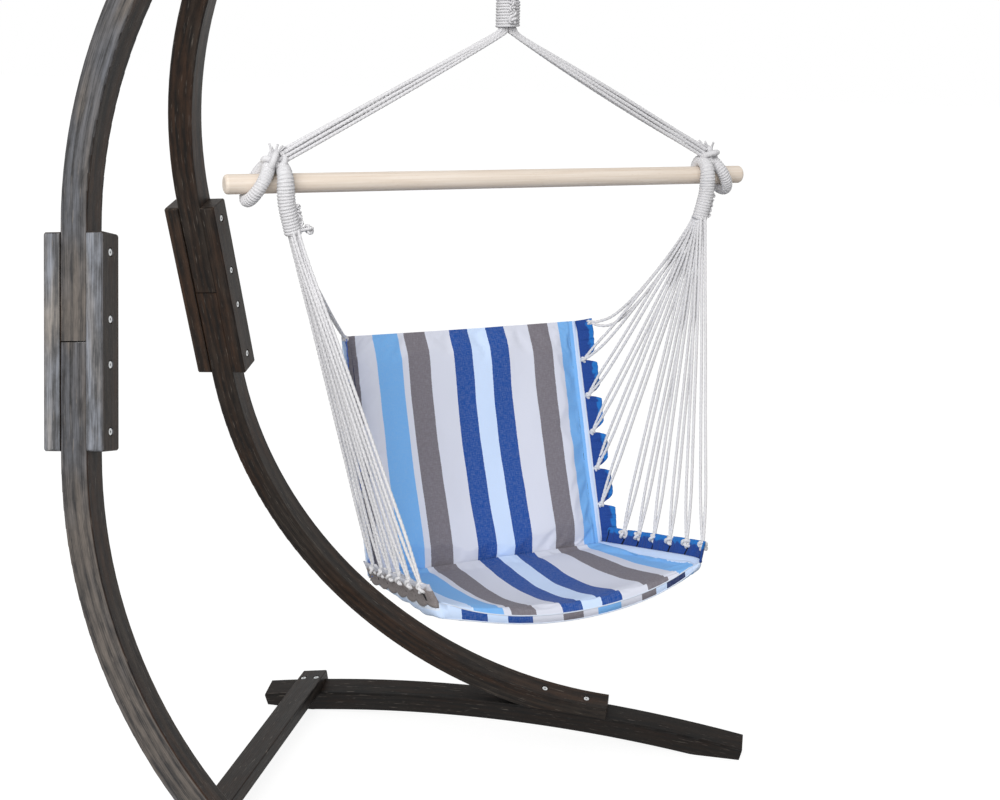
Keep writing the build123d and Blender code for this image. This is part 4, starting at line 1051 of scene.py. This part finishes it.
cushion_parts = (
    ("back", BACK_LENGTH, back_shape, back_layers, 0.012, (back_canvas, back_canvas, piping_canvas)),
    ("seat", SEAT_LENGTH, seat_shape, seat_layers, 0.016, (seat_canvas, gusset_canvas, piping_canvas)),
)
for part, length, shape, layers, seam, canvases in cushion_parts:
    cover, held = padded_cover(length, shape, layers, seam)
    cushion = cover.piece(
        f"{part}_cushion_filled", "chair", "striped_canvas", canvases, [f"{part}_cushion"], CHAIR
    )
    fill_cover(cushion, held)

    # Piping along the seams
    piping = Made()
    for side in (-1, 1):
        edge_line = []
        seam_line = []
        inner = side * (1 - FLANGE / (PAD_WIDTH / 2))
        for step in range(61):
            edge_line.append(shape(side, step / 60)[0])
            point, normal = shape(inner, step / 60)
            seam_line.append(point + normal * (layers(inner, step / 60)[0] - 0.3 * MM))
        if part == "back" or side > 0:
            piping.tube(edge_line, drawn_out(EDGE_PIPING, 20), 8)
        if part == "back":
            piping.tube(seam_line, SEAM_CORD, 6, 1)
    if part == "seat":
        for layer in (0, 1):
            front_line = []
            for step in range(121):
                u = 2 * step / 120 - 1
                point, normal = shape(u, 1.0)
                front_line.append(point + normal * layers(u, 1.0)[layer])
            piping.tube(front_line, drawn_out(FRONT_PIPING, 16), 8)
    piping.piece(f"{part}_piping", "chair", "striped_canvas", [piping_canvas, seam_cord_and_shade], place=CHAIR)


def seen_plainly(tree):
    """One for rays seen straight on, in a mirror or through glass; none for lighting."""
    path = add_node(tree, "LightPath").node.outputs
    seen = path["Is Camera Ray"]
    for ray in ("Is Glossy Ray", "Is Transmission Ray"):
        seen = add_node(tree, "Math", {0: seen, 1: path[ray]}, operation="MAXIMUM")
    return seen


# Floor, light and camera
FLOOR_LIFT = 0.86
FLOOR_HALF = 40
WORLD_LIGHT = 0.5
LAMP_AIM = Vector((0, 0, 0.9))
floor_finish, floor_tree, floor_shader = new_finish("pale_studio_floor", Roughness=1.0)
floor_shader.inputs["Base Color"].default_value = linear("#8C8C8B")
floor_shader.inputs["Emission Color"].default_value = (1, 1, 1, 1)
lift = add_node(floor_tree, "Math", {0: seen_plainly(floor_tree), 1: FLOOR_LIFT}, operation="MULTIPLY")
floor_tree.links.new(lift, floor_shader.inputs["Emission Strength"])
floor_mesh = bpy.data.meshes.new("studio_floor")
floor_corners = [(x * FLOOR_HALF, y * FLOOR_HALF, 0) for x, y in ((-1, -1), (1, -1), (1, 1), (-1, 1))]
floor_mesh.from_pydata(floor_corners, [], [(0, 1, 2, 3)])
floor_mesh.materials.append(floor_finish)
floor = bpy.data.objects.new("studio_floor", floor_mesh)
scene.collection.objects.link(floor)

world = bpy.data.worlds.new("studio")
scene.world = world
world.use_nodes = True
sky = world.node_tree
glow = add_node(sky, "Mix", {0: seen_plainly(sky), 2: WORLD_LIGHT, 3: 1.0})
sky.links.new(glow, sky.nodes["Background"].inputs["Strength"])
sky.nodes["Background"].inputs["Color"].default_value = (1, 1, 1, 1)

for name, place, size, power in (
    ("key_lamp", (-3.6, 0.2, 3.1), 2.6, 132),
    ("fill_lamp", (-3.6, -2.2, 1.8), 2.5, 18),
):
    lamp = bpy.data.lights.new(name, "AREA")
    lamp.size = size
    lamp.energy = power
    light = bpy.data.objects.new(name, lamp)
    light.location = place
    light.rotation_euler = (LAMP_AIM - Vector(place)).to_track_quat("-Z", "Y").to_euler()
    scene.collection.objects.link(light)

CAMERA_PLACE = Vector((-2.370, -0.576, 1.561))
CAMERA_YAW = radians(-79.228)
CAMERA_PITCH = radians(-14.632)
CAMERA_ROLL = radians(1.5)
CAMERA_SENSOR, CAMERA_LENS = 36.0, 49.73
lens = bpy.data.cameras.new("photo_camera")
lens.sensor_width = CAMERA_SENSOR
lens.sensor_fit = "HORIZONTAL"
lens.lens = CAMERA_LENS
camera = bpy.data.objects.new("photo_camera", lens)
camera.matrix_world = (
    Matrix.Translation(CAMERA_PLACE)
    @ Matrix.Rotation(CAMERA_YAW, 4, "Z")
    @ Matrix.Rotation(pi / 2 + CAMERA_PITCH, 4, "X")
    @ Matrix.Rotation(CAMERA_ROLL, 4, "Z")
)
scene.collection.objects.link(camera)
scene.camera = camera
